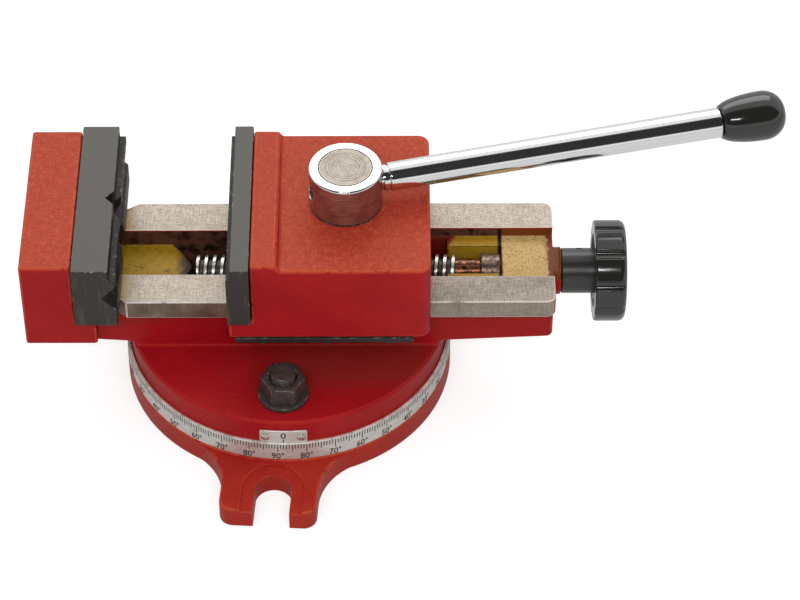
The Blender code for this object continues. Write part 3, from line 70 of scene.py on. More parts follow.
# heights and places that many pieces share, in millimetres
plateLift = 0.9
gap = 0.3
past = 3    # how far a cut reaches past the surface
bite = 0.5  # how far joined shapes overlap
tableBottom = place("index_plate")[0].z
tableTop = place("clamp_washer_front")[0].z - gap
railTop = place("fixed_jaw_plate")[0].z - plateLift
screwZ = joints["handwheel_turn"]["pos_m"][2] / mm
leverX = joints["lever_turn"]["pos_m"][0] / mm
saddleTop = place("hub_washer")[0].z - gap
wheelLow, wheelHigh = place("handwheel")


# shapes, all drawn in millimetres

def curved(x, y, radius, start, end, steps=10):
    # points of an arc with its ends, angles in degrees
    points = []
    for step in range(steps + 1):
        angle = math.radians(start + (end - start) * step / steps)
        points.append((x + radius * math.cos(angle), y + radius * math.sin(angle)))
    return points


def rounded(points, radius, steps=4, loop=True):
    # rounds the corners of an outline; radius is one number, or a list with one for each point
    radii = radius if isinstance(radius, (list, tuple)) else [radius] * len(points)
    result = []
    count = len(points)
    for index, point in enumerate(points):
        corner = Vector(point)
        inner = loop or 0 < index < count - 1
        if radii[index] <= 0 or not inner:
            result.append(tuple(corner))
            continue
        back = (Vector(points[index - 1]) - corner).normalized()
        ahead = (Vector(points[(index + 1) % count]) - corner).normalized()
        half = back.angle(ahead) / 2
        reach = radii[index] / math.tan(half)
        centre = corner + (back + ahead).normalized() * radii[index] / math.sin(half)
        first = corner + back * reach - centre
        sweep = first.angle_signed(corner + ahead * reach - centre)
        for step in range(steps + 1):
            angle = -sweep * step / steps
            turned = Matrix.Rotation(angle, 2) @ first
            result.append(tuple(centre + turned))
    return result


def turnProfile(points, steps=120, matrix=None, loop=False):
    # spins (radius, height) points about Z
    shape = bmesh.new()
    verts = [shape.verts.new((radius, 0, height)) for radius, height in points]
    edges = [shape.edges.new(pair) for pair in zip(verts, verts[1:])]
    if loop:
        edges.append(shape.edges.new((verts[-1], verts[0])))
    bmesh.ops.spin(shape, geom=verts + edges, cent=(0, 0, 0), axis=(0, 0, 1), dvec=(0, 0, 0),
                   angle=math.tau, steps=steps, use_merge=True)
    return tidied(shape, matrix)


def tidied(shape, matrix=None):
    # merges doubles, turns faces outwards and puts the shape in its place
    bmesh.ops.remove_doubles(shape, verts=shape.verts, dist=0.001)
    bmesh.ops.recalc_face_normals(shape, faces=shape.faces)
    return shape if matrix is None else placed(shape, matrix)


def placed(shape, matrix):
    bmesh.ops.transform(shape, matrix=matrix, verts=shape.verts)
    return shape


def liftOutline(points, low, high, plane="XY"):
    # fills an outline and extrudes it from low to high, square to its plane
    shape = bmesh.new()
    verts = [shape.verts.new((x, y, low)) for x, y in points]
    face = shape.faces.new(verts)
    lifted = bmesh.ops.extrude_face_region(shape, geom=[face])
    moved = [item for item in lifted["geom"] if isinstance(item, bmesh.types.BMVert)]
    bmesh.ops.translate(shape, verts=moved, vec=(0, 0, high - low))
    upright = Matrix(((1, 0, 0, 0), (0, 0, 1, 0), (0, 1, 0, 0), (0, 0, 0, 1)))
    return tidied(placed(shape, upright) if plane == "XZ" else shape)


def block(low, high):
    low, high = Vector(low), Vector(high)
    shape = bmesh.new()
    matrix = Matrix.Translation((low + high) / 2) @ Matrix.Diagonal((*(high - low), 1))
    bmesh.ops.create_cube(shape, size=1, matrix=matrix)
    return shape


def slab(left, right, half, low, high):
    # a block that reaches as far to both sides of the X axis
    return block((left, -half, low), (right, half, high))


def bar(start, end, radius, steps=48):
    # a round bar from one point to another
    start, end = Vector(start), Vector(end)
    along = end - start
    turn = along.to_track_quat("Z", "Y").to_matrix().to_4x4()
    shape = bmesh.new()
    bmesh.ops.create_cone(shape, cap_ends=True, segments=steps, radius1=radius, radius2=radius,
                          depth=along.length, matrix=Matrix.Translation((start + end) / 2) @ turn)
    return shape


def post(x, y, low, high, radius, steps=48):
    return bar((x, y, low), (x, y, high), radius, steps)


def rod(left, right, y, z, radius, steps=48):
    return bar((left, y, z), (right, y, z), radius, steps)


def ringSection(outer, inner, low, high):
    return [(outer, high), (outer, low), (inner, low), (inner, high)]


def rightEnd(right, half, corner, steps):
    # the two rounded corners at the right end of an outline
    x, y = right - corner, half - corner
    return curved(x, -y, corner, -90, 0, steps) + curved(x, y, corner, 0, 90, steps)


def cutThrough(shape, point, normal, clear=False, dist=0):
    # cuts a shape at a plane and clears what lies in front of it if told to
    everything = shape.verts[:] + shape.edges[:] + shape.faces[:]
    bmesh.ops.bisect_plane(shape, geom=everything, dist=dist, plane_co=point, plane_no=normal,
                           clear_outer=clear)


def carve(shape, joins=(), cuts=(), keeps=()):
    # joins shapes to a shape, cuts others from it and keeps what it shares with the last
    def linked(item):
        mesh = bpy.data.meshes.new("carving")
        item.to_mesh(mesh)
        item.free()
        thing = bpy.data.objects.new("carving", mesh)
        scene.collection.objects.link(thing)
        return thing

    body = linked(shape)
    tools = []
    for operation, items in (("UNION", joins), ("DIFFERENCE", cuts), ("INTERSECT", keeps)):
        for item in items:
            step = body.modifiers.new(operation, "BOOLEAN")
            step.operation = operation
            step.solver = "EXACT"
            step.object = linked(item)
            tools.append(step.object)
    bpy.context.view_layer.update()
    result = bmesh.new()
    result.from_object(body, bpy.context.evaluated_depsgraph_get())
    for thing in [body] + tools:
        mesh = thing.data
        bpy.data.objects.remove(thing, do_unlink=True)
        bpy.data.meshes.remove(mesh)
    bmesh.ops.remove_doubles(result, verts=result.verts, dist=0.005)
    bmesh.ops.dissolve_degenerate(result, edges=result.edges, dist=0.005)
    loose = [edge for edge in result.edges if edge.is_wire]
    bmesh.ops.delete(result, geom=loose, context="EDGES")
    bmesh.ops.holes_fill(result, edges=[edge for edge in result.edges if edge.is_boundary], sides=0)
    bmesh.ops.dissolve_limit(result, angle_limit=math.radians(0.6), verts=result.verts,
                             edges=result.edges, use_dissolve_boundaries=False)
    return result


def softenEdges(shape, width, segments=2, angle=40, choose=None):
    # rounds the edges that are sharper than the angle, in degrees
    limit = math.radians(angle)
    edges = []
    for edge in shape.edges:
        if edge.is_manifold and edge.calc_face_angle() > limit and (choose is None or choose(edge)):
            edges.append(edge)
    bmesh.ops.bevel(shape, geom=edges, offset=width, offset_type="OFFSET", affect="EDGES",
                    segments=segments, profile=0.5, material=-1, clamp_overlap=False)
    return shape


def markWear(shape):
    # the narrow strips of outer roundings rub bright first, and the finishes read this layer
    layer = shape.faces.layers.float.new("edgeWear")
    for face in shape.faces:
        around = max(sum(edge.calc_length() for edge in face.edges), 0.001)
        width = 2 * face.calc_area() / around
        bend = 0.0
        for edge in face.edges:
            if edge.is_manifold:
                bend += edge.calc_face_angle_signed(0) * edge.calc_length() / around
        face[layer] = 1.0 if width < 0.8 and bend > math.radians(11) else 0.0


def newPiece(name, shape, body, slot, materials, *replaced, sharp=50, pick=None):
    # makes a shape a piece in metres that rides on a body and stands for CAD nodes
    markWear(shape)
    wide = [face for face in shape.faces if len(face.verts) > 8]
    bmesh.ops.triangulate(shape, faces=wide, quad_method="BEAUTY", ngon_method="BEAUTY")
    if pick is not None:
        for face in shape.faces:
            face.material_index = pick(face, face.calc_center_median())
    bmesh.ops.scale(shape, vec=(mm, mm, mm), verts=shape.verts)
    mesh = bpy.data.meshes.new(name)
    shape.to_mesh(mesh)
    shape.free()
    mesh.shade_smooth()
    mesh.set_sharp_from_angle(angle=math.radians(sharp))
    for material in materials if isinstance(materials, (list, tuple)) else [materials]:
        mesh.materials.append(material)
    piece = bpy.data.objects.new(name, mesh)
    scene.collection.objects.link(piece)
    normals = piece.modifiers.new("Normals", "WEIGHTED_NORMAL")
    normals.keep_sharp = True
    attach(piece, body)
    if replaced:
        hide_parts(*replaced)
    return piece


def alongX(x, z=0):
    # lays a turned shape along X with its height 0 at x
    return Matrix.Translation((x, 0, z)) @ Matrix.Rotation(math.radians(90), 4, "Y")


def aboutZ(degrees):
    return Matrix.Rotation(math.radians(degrees), 4, "Z")


def at(x, y, z=0):
    return Matrix.Translation((x, y, z))


def edgeMiddle(edge):
    return (edge.verts[0].co + edge.verts[1].co) / 2


def fromScrew(point):
    # distance from the screw's axis
    return math.hypot(point.y, point.z - screwZ)


def fromLever(point):
    # distance from the lever's axis
    return math.hypot(point.x - leverX, point.y)


# nodes of the finishes

def put(tree, kind, settings=None, inputs=None):
    # adds a node, sets its properties and fills or links its inputs
    node = tree.nodes.new("ShaderNode" + kind)
    for name, value in (settings or {}).items():
        setattr(node, name, value)
    for name, value in (inputs or {}).items():
        if isinstance(value, bpy.types.NodeSocket):
            tree.links.new(value, node.inputs[name])
        else:
            node.inputs[name].default_value = value
    return node


def work(tree, operation, first, second=0.0, third=0.0, clamp=False):
    node = put(tree, "Math", {"operation": operation, "use_clamp": clamp},
               {0: first, 1: second, 2: third})
    return node.outputs[0]


def mixColour(tree, factor, first, second):
    node = put(tree, "Mix", {"data_type": "RGBA"}, {0: factor, 6: first, 7: second})
    return node.outputs[2]


def mixValue(tree, factor, first, second):
    node = put(tree, "Mix", {"data_type": "FLOAT"}, {0: factor, 2: first, 3: second})
    return node.outputs[0]


def spread(tree, value, low, high):
    # stretches a value between two levels to 0 and 1
    node = put(tree, "MapRange", {"clamp": True, "interpolation_type": "SMOOTHSTEP"},
               {"Value": value, "From Min": low, "From Max": high})
    return node.outputs[0]


def blend(tree, value, low, high, first, second):
    return mixColour(tree, spread(tree, value, low, high), first, second)


def within(tree, value, limits):
    # like spread, between two limits in millimetres
    return spread(tree, value, limits[0] * mm, limits[1] * mm)


def times(tree, first, second, clamp=False):
    return work(tree, "MULTIPLY", first, second, clamp=clamp)


def average(tree, first, second):
    return times(tree, work(tree, "ADD", first, second), 0.5)


def objectAxes(tree):
    # X, Y and Z of the point in the piece's own coordinates, in metres
    coords = put(tree, "TexCoord").outputs["Object"]
    return put(tree, "SeparateXYZ", None, {0: coords}).outputs


def noise(tree, scale, detail=2.0, shift=(0, 0, 0), rough=0.5, size=1.0):
    # noise whose grains are about 1 / scale millimetres wide along each axis
    scales = scale if isinstance(scale, (list, tuple)) else (scale, scale, scale)
    coords = put(tree, "TexCoord").outputs["Object"]
    where = put(tree, "Mapping", None, {
        "Vector": coords, "Location": shift, "Scale": [value / mm for value in scales]}).outputs[0]
    node = put(tree, "TexNoise", None, {
        "Vector": where, "Scale": size, "Detail": detail, "Roughness": rough})
    return node.outputs["Fac"]


def newGroup(name, inputs, outputs):
    # a node group with float inputs, and outputs that are given by name and kind
    tree = bpy.data.node_groups.new(name, "ShaderNodeTree")
    for label, value in inputs.items():
        socket = tree.interface.new_socket(label, in_out="INPUT", socket_type="NodeSocketFloat")
        socket.default_value = value
    for label in outputs:
        tree.interface.new_socket(label, in_out="OUTPUT", socket_type="NodeSocketFloat")
    source = tree.nodes.new("NodeGroupInput")
    target = tree.nodes.new("NodeGroupOutput")
    return tree, source.outputs, target.inputs


def useGroup(tree, group, inputs):
    node = tree.nodes.new("ShaderNodeGroup")
    node.node_tree = group
    for name, value in inputs.items():
        if isinstance(value, bpy.types.NodeSocket):
            tree.links.new(value, node.inputs[name])
        else:
            node.inputs[name].default_value = value
    return node.outputs


def scaledNoise(tree, size, detail=2.0, shift=(0, 0, 0)):
    # noise in a group, where the grain size in millimetres comes from a socket
    return noise(tree, 1.0, detail, shift, size=work(tree, "DIVIDE", 1.0, size))


def wornBy(tree, colour, size, amount, bright, share=1.0):
    # lays a brighter colour on the rubbed edges
    rub = useGroup(tree, rubbedEdges, {"Size": size, "Amount": amount})["Mask"]
    return mixColour(tree, times(tree, rub, share), colour, bright)


def makeRubbedEdges():
    tree, given, result = newGroup("rubbed edges", {"Size": 3.0, "Amount": 0.5}, ["Mask"])
    worn = put(tree, "Attribute", {"attribute_name": "edgeWear"}).outputs["Fac"]
    patches = scaledNoise(tree, given["Size"], 3.0)
    start = work(tree, "SUBTRACT", 0.75, times(tree, given["Amount"], 0.5))
    level = spread(tree, patches, start, work(tree, "ADD", start, 0.15))
    tree.links.new(times(tree, worn, level), result["Mask"])
    return tree


def makeSpecks():
    tree, given, result = newGroup("specks", {"Size": 1.0, "Amount": 0.5, "Blur": 0.08}, ["Mask"])
    field = scaledNoise(tree, given["Size"], 2.5, shift=(17, 5, 31))
    start = work(tree, "SUBTRACT", 0.8, times(tree, given["Amount"], 0.5))
    level = spread(tree, field, start, work(tree, "ADD", start, given["Blur"]))
    tree.links.new(level, result["Mask"])
    return tree


def makeOrangePeel():
    tree, given, result = newGroup("orange peel", {"Size": 1.0}, ["Height", "Shade"])
    fine = scaledNoise(tree, given["Size"], 1.0)
    coarse = scaledNoise(tree, times(tree, given["Size"], 4.0), 2.0, shift=(9, 2, 4))
    tree.links.new(work(tree, "ADD", fine, times(tree, coarse, 0.7)), result["Height"])
    tree.links.new(coarse, result["Shade"])
    return tree


def makeFacing():
    # how far a surface looks up, and along X and Y, whichever side of it is seen
    tree, given, result = newGroup("facing", {"Sharpness": 6.0}, ["Up", "Along X", "Along Y"])
    normal = put(tree, "TexCoord").outputs["Normal"]
    parts = put(tree, "SeparateXYZ", None, {0: normal}).outputs
    for label, part in (("Along X", parts[0]), ("Along Y", parts[1]), ("Up", parts[2])):
        size = part if label == "Up" else work(tree, "ABSOLUTE", part)
        level = times(tree, work(tree, "SUBTRACT", size, 0.7), given["Sharpness"])
        tree.links.new(work(tree, "ADD", level, 0.5, clamp=True), result[label])
    return tree


rubbedEdges = makeRubbedEdges()
specks = makeSpecks()
orangePeel = makeOrangePeel()
facing = makeFacing()


def newFinish(name, fixed=None):
    # a material with its Principled shader; fixed holds the sockets that stay the same all over
    material = bpy.data.materials.new(name)
    material.use_nodes = True
    tree = material.node_tree
    shader = tree.nodes["Principled BSDF"]
    for label, value in (fixed or {}).items():
        shader.inputs[label].default_value = value
    return material, tree, shader


def joinUp(tree, shader, colour, roughness=None, height=None, strength=0.5, depth=0.1, metal=None):
    # links colour, roughness, metallic and a bump of so many millimetres to the shader
    tree.links.new(colour, shader.inputs["Base Color"])
    if roughness is not None:
        tree.links.new(roughness, shader.inputs["Roughness"])
    if metal is not None:
        tree.links.new(metal, shader.inputs["Metallic"])
    if height is not None:
        bump = put(tree, "Bump", None, {"Strength": strength, "Distance": depth * mm, "Height": height})
        tree.links.new(bump.outputs[0], shader.inputs["Normal"])


def shade(red, green, blue):
    # an sRGB colour of 0 to 255 as the shader wants it
    values = []
    for value in (red, green, blue):
        level = value / 255
        values.append(level / 12.92 if level <= 0.04045 else ((level + 0.055) / 1.055) ** 2.4)
    return (*values, 1.0)


paintSettings = {
    "main": (0.375, 0.0040, 0.0120, 1), "deep": (0.320, 0.0030, 0.0090, 1),
    "warm": (0.43, 0.034, 0.017, 1), "bleached": (0.385, 0.040, 0.022, 1),
    "pitted": (0.24, 0.014, 0.010, 1), "rubbed": (0.58, 0.10, 0.045, 1),
    "grime": (0.17, 0.022, 0.016, 1), "grimeTop": 39.5, "grimeY": (-64, -46), "grimeX": (-40, 15),
    "bleachZ": (96, 104), "patchScale": 0.03, "peelSize": 0.8, "peelDepth": 0.3, "pits": 0.45,
    "crests": 0.5, "rubSize": 5.0, "rubAmount": 0.8, "rubShare": 0.38, "roughness": (0.36, 0.46),
    "specular": 0.2, "specularTint": (1.0, 0.85, 0.4, 1),
}


def makePaint(name, warmth):
    # the highest up-facing tops get a lighter orange, a painted sheen; a painted shadow of the body lies on
    # the turntable near the web
    use = SimpleNamespace(**paintSettings)
    material, tree, shader = newFinish(name, {
        "Specular IOR Level": use.specular, "Specular Tint": use.specularTint})
    peel = useGroup(tree, orangePeel, {"Size": use.peelSize})
    patches = noise(tree, use.patchScale, 3.0)
    colour = blend(tree, patches, 0.35, 0.65, use.deep, use.main)
    colour = mixColour(tree, times(tree, patches, 2 * warmth, clamp=True), colour, use.warm)
    where = objectAxes(tree)
    up = useGroup(tree, facing, {"Sharpness": 6.0})["Up"]
    # painted shadow: up-facing faces low by the web, under and right of the body, are painted darker and
    # browner
    shadowMask = times(tree, within(tree, where[1], use.grimeY), within(tree, where[0], use.grimeX))
    shadowMask = times(tree, shadowMask, work(tree, "LESS_THAN", where[2], use.grimeTop * mm))
    shadowMask = times(tree, shadowMask, times(tree, patches, up))
    colour = mixColour(tree, shadowMask, colour, use.grime)
    # painted sheen: up-facing faces high on the vise are painted a lighter, more orange red
    sheenMask = times(tree, within(tree, where[2], use.bleachZ), up)
    colour = mixColour(tree, sheenMask, colour, use.bleached)
    pits = times(tree, spread(tree, peel["Height"], 0.9, 0.62), up)
    colour = mixColour(tree, times(tree, pits, use.pits), colour, use.pitted)
    # painted highlight: the peel's crests inside the painted sheen take a lighter orange, which the worn
    # edges share
    crests = times(tree, spread(tree, peel["Height"], 0.88, 1.15), sheenMask)
    colour = mixColour(tree, times(tree, crests, use.crests), colour, use.rubbed)
    colour = wornBy(tree, colour, use.rubSize, use.rubAmount, use.rubbed, use.rubShare)
    roughness = mixValue(tree, peel["Shade"], *use.roughness)
    joinUp(tree, shader, colour, roughness, peel["Height"], 1.0, use.peelDepth)
    return material


plateSettings = {
    "ground": shade(81, 79, 74), "dark": shade(58, 53, 49), "oily": shade(30, 27, 26),
    "brown": shade(84, 72, 61), "bright": shade(170, 165, 152), "topZ": (107, 109), "metallic": 0.5,
    "roughness": (0.4, 0.56),
}


def makePlateSteel():
    # tops are ground and lighter, the other faces are oily black with brownish streaks; the dark of the
    # sides against the tops is partly painted shade
    use = SimpleNamespace(**plateSettings)
    material, tree, shader = newFinish("jaw plate steel", {"Metallic": use.metallic})
    way = useGroup(tree, facing, {"Sharpness": 9.0})
    brushed = noise(tree, (2.6, 0.12, 2.6), 3.0)
    fine = noise(tree, 2.2, 3.0, (3, 1, 8))
    grain = average(tree, brushed, fine)
    ground = blend(tree, grain, 0.2, 0.8, use.dark, use.ground)
    ground = mixColour(tree, 0.55, ground, use.ground)
    streaks = noise(tree, (0.35, 0.35, 0.05), 4.0, (4, 9, 2))
    inner = blend(tree, streaks, 0.55, 0.75, use.oily, use.brown)
    outer = blend(tree, streaks, 0.5, 0.75, use.dark, use.brown)
    blackened = mixColour(tree, way["Along Y"], inner, outer)
    # the lighter ground tops are picked by facing and height, partly painted light on the tops
    top = times(tree, way["Up"], within(tree, objectAxes(tree)[2], use.topZ))
    colour = mixColour(tree, top, blackened, ground)
    colour = wornBy(tree, colour, 1.6, 0.4, use.bright, 0.7)
    joinUp(tree, shader, colour, mixValue(tree, grain, *use.roughness), grain, 0.4, 0.03)
    return material


def makeGroundSteel(name, light, dark, stain, speckAmount, stainedEnd):
    # a cross-hatched ground face with brown specks, stained towards its left end
    material, tree, shader = newFinish(name)
    lines = noise(tree, (0.2, 2.4, 2.4), 2.0)
    across = noise(tree, (2.4, 0.16, 0.16), 2.0, (5, 5, 5))
    hatch = average(tree, lines, across)
    colour = blend(tree, hatch, 0.3, 0.7, dark, light)
    cloud = noise(tree, 0.09, 3.0, (2, 7, 1))
    colour = mixColour(tree, times(tree, spread(tree, cloud, 0.5, 0.8), 0.3), colour, stain)
    dots = useGroup(tree, specks, {"Size": 0.8, "Amount": speckAmount})["Mask"]
    colour = mixColour(tree, times(tree, dots, 0.55), colour, stain)
    limits, endColour = stainedEnd
    end = times(tree, within(tree, objectAxes(tree)[0], limits), work(tree, "ADD", cloud, 0.15))
    colour = mixColour(tree, end, colour, endColour)
    rub = useGroup(tree, rubbedEdges, {"Size": 6.0, "Amount": 1.0})["Mask"]
    colour = mixColour(tree, times(tree, rub, 0.8), colour, shade(220, 214, 203))
    joinUp(tree, shader, colour, mixValue(tree, hatch, 0.32, 0.48), hatch, 0.3, 0.04,
           mixValue(tree, rub, 0.75, 0.1))
    return material


def makeBlotched(name, light, dark, size, speckAmount, roughness, metallic):
    # a rough cast or oily surface with blotches and dark specks
    material, tree, shader = newFinish(name, {"Metallic": metallic})
    cloud = noise(tree, 1 / size, 4.0)
    colour = blend(tree, cloud, 0.35, 0.65, dark, light)
    dots = useGroup(tree, specks, {"Size": 1.0, "Amount": speckAmount})["Mask"]
    colour = mixColour(tree, times(tree, dots, 0.75), colour, dark)
    peel = useGroup(tree, orangePeel, {"Size": 0.7})
    joinUp(tree, shader, colour, mixValue(tree, cloud, *roughness), peel["Height"], 0.5, 0.08)
    return material


baySettings = {
    "mustard": shade(166, 130, 32), "tan": shade(196, 164, 106), "olive": shade(98, 82, 26),
    "brown": shade(90, 56, 44), "rust": shade(112, 56, 24), "dark": shade(26, 16, 13),
    "red": shade(122, 34, 24), "nose": (-56.0, -48.0), "redEnd": 74.0, "shelfHeight": 68.8,
    "blockStart": 104.9, "blockEnd": 126.6,
}


def makeBayFinish():
    # the oily channel: mustard floors, a tan end block, rusty and dark brown walls, with painted light: a
    # painted shadow at the nose, a painted red reflection of the moving jaw, painted glints on the walls
    # and a painted dark line at the end block's step
    use = SimpleNamespace(**baySettings)
    material, tree, shader = newFinish("oily channel", {"Specular IOR Level": 0.15})
    where = objectAxes(tree)
    ragged = work(tree, "SUBTRACT", noise(tree, 0.4, 4.0, (7, 3, 2)), 0.5)
    plain = work(tree, "DIVIDE", where[0], mm)
    along = work(tree, "ADD", plain, times(tree, ragged, 5.0))
    cloud = noise(tree, 0.22, 4.0)
    dots = useGroup(tree, specks, {"Size": 0.75, "Amount": 0.46})["Mask"]
    mustard = blend(tree, cloud, 0.5, 0.9, use.mustard, use.olive)
    # painted shadow: the floor darkens into the pocket at its nose, where the moving jaw's shadow falls
    floor = blend(tree, along, *use.nose, mustard, use.dark)
    # painted reflection and shade: the shelf beside the moving jaw is painted red up to a slanted edge
    slant = work(tree, "SUBTRACT", along, times(tree, where[1], 0.5 / mm))
    shelf = blend(tree, slant, use.redEnd + 1, use.redEnd - 1, mustard, use.red)
    floor = blend(tree, along, 0.0, 10.0, floor, shelf)
    tan = blend(tree, cloud, 0.5, 0.9, use.tan, use.mustard)
    tan = blend(tree, along, use.blockEnd - 1, use.blockEnd + 1, tan, use.rust)
    start = use.blockStart
    floor = blend(tree, along, start - 0.4, start + 0.4, floor, tan)
    floor = mixColour(tree, times(tree, dots, 0.75), floor, use.brown)
    wall = blend(tree, cloud, 0.45, 0.7, use.brown, use.dark)
    # painted glints: orange specks on the walls in the rust colour
    glints = useGroup(tree, specks, {"Size": 1.8, "Amount": 0.3})["Mask"]
    wall = mixColour(tree, glints, wall, use.rust)
    # the walls' lower band takes the shelf's colours, its painted red reflection included
    low = spread(tree, work(tree, "DIVIDE", where[2], mm), use.shelfHeight, use.shelfHeight - 0.6)
    wall = mixColour(tree, times(tree, low, spread(tree, along, 55.0, 70.0)), wall, shelf)
    wall = blend(tree, along, start - 0.4, start + 0.4, wall, use.rust)
    up = useGroup(tree, facing, {"Sharpness": 5.0})["Up"]
    colour = mixColour(tree, up, wall, floor)
    # painted shade: a dark line along the step before the end block
    seam = work(tree, "ABSOLUTE", work(tree, "SUBTRACT", plain, start - 1.0))
    colour = blend(tree, seam, 1.4, 0.5, colour, use.dark)
    peel = useGroup(tree, orangePeel, {"Size": 0.8})
    joinUp(tree, shader, colour, mixValue(tree, cloud, 0.3, 0.5), peel["Height"], 0.6, 0.12)
    return material


def makeBlackOxide(name, dark, light):
    material, tree, shader = newFinish(name, {"Metallic": 0.12})
    glint = shade(150, 142, 134)
    cloud = noise(tree, 0.5, 4.0)
    colour = blend(tree, cloud, 0.25, 0.75, dark, light)
    colour = wornBy(tree, colour, 3.0, 0.45, glint, 0.4)
    scratch = noise(tree, (1.2, 6.0, 1.2), 2.0, (8, 3, 1))
    way = useGroup(tree, facing, {"Sharpness": 8.0})
    bright = times(tree, spread(tree, scratch, 0.62, 0.7), way["Up"])
    colour = mixColour(tree, times(tree, bright, 0.25), colour, glint)
    joinUp(tree, shader, colour, mixValue(tree, cloud, 0.34, 0.5), scratch, 0.25, 0.04)
    return material


def makeTurnedSteel(name, light, dark, pitch, centreX=None):
    # rings of turning marks round an upright axis, or along X where no centre is given
    material, tree, shader = newFinish(name, {"Metallic": 0.9})
    where = objectAxes(tree)
    distance = where[0]
    if centreX is not None:
        aside = work(tree, "SUBTRACT", where[0], centreX * mm)
        squares = work(tree, "ADD", times(tree, aside, aside), times(tree, where[1], where[1]))
        distance = work(tree, "SQRT", squares)
    wobble = times(tree, noise(tree, 0.4, 4.0, (6, 1, 3)), 1.6 * mm)
    distance = work(tree, "ADD", distance, wobble)
    ring = put(tree, "TexNoise", {"noise_dimensions": "1D"}, {
        "W": work(tree, "DIVIDE", distance, pitch * mm), "Scale": 1.0, "Detail": 3.0}).outputs["Fac"]
    cloud = noise(tree, 0.25, 3.0)
    blotch = work(tree, "ADD", times(tree, ring, 0.7), times(tree, cloud, 0.3))
    colour = blend(tree, blotch, 0.36, 0.62, dark, light)
    colour = wornBy(tree, colour, 3.0, 0.9, shade(225, 220, 210))
    joinUp(tree, shader, colour, mixValue(tree, cloud, 0.24, 0.42), ring, 0.35, 0.04)
    return material


def makeChrome():
    material, tree, shader = newFinish("chrome", {"Metallic": 1.0})
    haze = noise(tree, 0.06, 4.0)
    colour = mixColour(tree, haze, shade(222, 222, 222), shade(238, 238, 238))
    scuffs = noise(tree, 1.2, 5.0, (3, 8, 2), 0.7)
    roughness = mixValue(tree, spread(tree, scuffs, 0.45, 0.75), 0.09, 0.2)
    joinUp(tree, shader, colour, roughness, haze, 0.04, 0.3)
    return material


def makeTurnedHub():
    # the hub's side is turned, with a darker, warmer tone than its polished top: painted shade and a
    # painted red reflection of the saddle
    material, tree, shader = newFinish("turned hub side", {"Metallic": 0.9})
    lines = noise(tree, (0.08, 0.08, 2.5), 3.0)
    cloud = noise(tree, 0.15, 3.0, (4, 4, 1))
    both = average(tree, lines, cloud)
    colour = blend(tree, both, 0.3, 0.7, shade(140, 120, 110), shade(194, 178, 166))
    colour = wornBy(tree, colour, 3.0, 0.9, shade(235, 235, 235))
    joinUp(tree, shader, colour, mixValue(tree, both, 0.16, 0.3), lines, 0.12, 0.03)
    return material


def makeBlackPlastic(name, polish, grain):
    material, tree, shader = newFinish(name, {"Specular IOR Level": 0.7})
    cloud = noise(tree, 0.08, 3.0)
    colour = mixColour(tree, cloud, shade(27, 27, 25), shade(38, 37, 34))
    colour = wornBy(tree, colour, 3.0, 0.35, shade(70, 68, 66))
    fine = noise(tree, 1.1, 3.0, (6, 2, 9))
    joinUp(tree, shader, colour, mixValue(tree, fine, *polish), fine, grain, 0.1)
    return material


def makeAluminium():
    material, tree, shader = newFinish("satin aluminium", {"Metallic": 0.4})
    around = noise(tree, (0.25, 0.25, 5.0), 2.0)
    cloud = noise(tree, 0.12, 4.0, (1, 4, 7))
    light, dark, stain = shade(222, 218, 212), shade(196, 190, 184), shade(120, 104, 92)
    colour = blend(tree, around, 0.3, 0.7, dark, light)
    colour = mixColour(tree, times(tree, spread(tree, cloud, 0.55, 0.8), 0.4), colour, stain)
    colour = wornBy(tree, colour, 4.0, 0.7, shade(240, 238, 232))
    joinUp(tree, shader, colour, mixValue(tree, around, 0.3, 0.45), around, 0.2, 0.03)
    return material


def makeInk():
    material, tree, shader = newFinish("engraved black")
    cloud = noise(tree, 1.5, 3.0)
    colour = blend(tree, cloud, 0.45, 0.8, shade(12, 11, 11), shade(60, 56, 54))
    joinUp(tree, shader, colour, mixValue(tree, cloud, 0.5, 0.7))
    return material


paint = makePaint("red enamel", 0.04)
basePaint = makePaint("red enamel of the base", 0.5)
plateSteel = makePlateSteel()
railSteel = makeGroundSteel("rail steel", shade(174, 164, 152), shade(122, 112, 101), shade(84, 66, 48),
                            0.5, ((-72, -79), shade(150, 118, 52)))
railSide = makeGroundSteel("rail side steel", shade(172, 163, 149), shade(140, 128, 112),
                           shade(100, 76, 56), 0.36, ((0, -40), shade(92, 66, 50)))
bayFinish = makeBayFinish()
rawIron = makeBlotched("machined iron", shade(120, 114, 106), shade(72, 66, 60), 4.0, 0.3, (0.4, 0.55), 0.6)
blackOxide = makeBlackOxide("black oxide", shade(48, 41, 39), shade(70, 61, 58))
# a darker copy of the black oxide for the keeper bars under the rails, as painted shade
keeperShadedOxide = makeBlackOxide("black oxide in painted shade", shade(26, 24, 24), shade(40, 36, 35))
screwSteel = makeTurnedSteel("screw steel", shade(150, 138, 126), shade(66, 54, 46), 0.35)
collarSteel = makeBlotched("collar steel", shade(142, 120, 104), shade(70, 52, 44), 1.6, 0.4,
                           (0.2, 0.4), 0.7)
neckSteel = makeBlotched("coppery neck", shade(150, 96, 64), shade(58, 30, 20), 1.8, 0.45,
                         (0.15, 0.35), 0.7)
shaftSteel = makeTurnedSteel("turned shaft", shade(150, 142, 132), shade(96, 88, 80), 0.6, leverX)
chrome = makeChrome()
hubSide = makeTurnedHub()
blackPlastic = makeBlackPlastic("black phenolic", (0.06, 0.16), 0.04)
dullPlastic = makeBlackPlastic("dull black phenolic", (0.24, 0.42), 0.3)
aluminium = makeAluminium()
rivetSteel = makeTurnedSteel("rivet steel", shade(215, 210, 200), shade(150, 145, 138), 0.9)
ink = makeInk()
bronze = makeBlotched("bronze", shade(190, 142, 80), shade(128, 88, 44), 4.0, 0.25, (0.3, 0.45), 1.0)
print("finishes made")


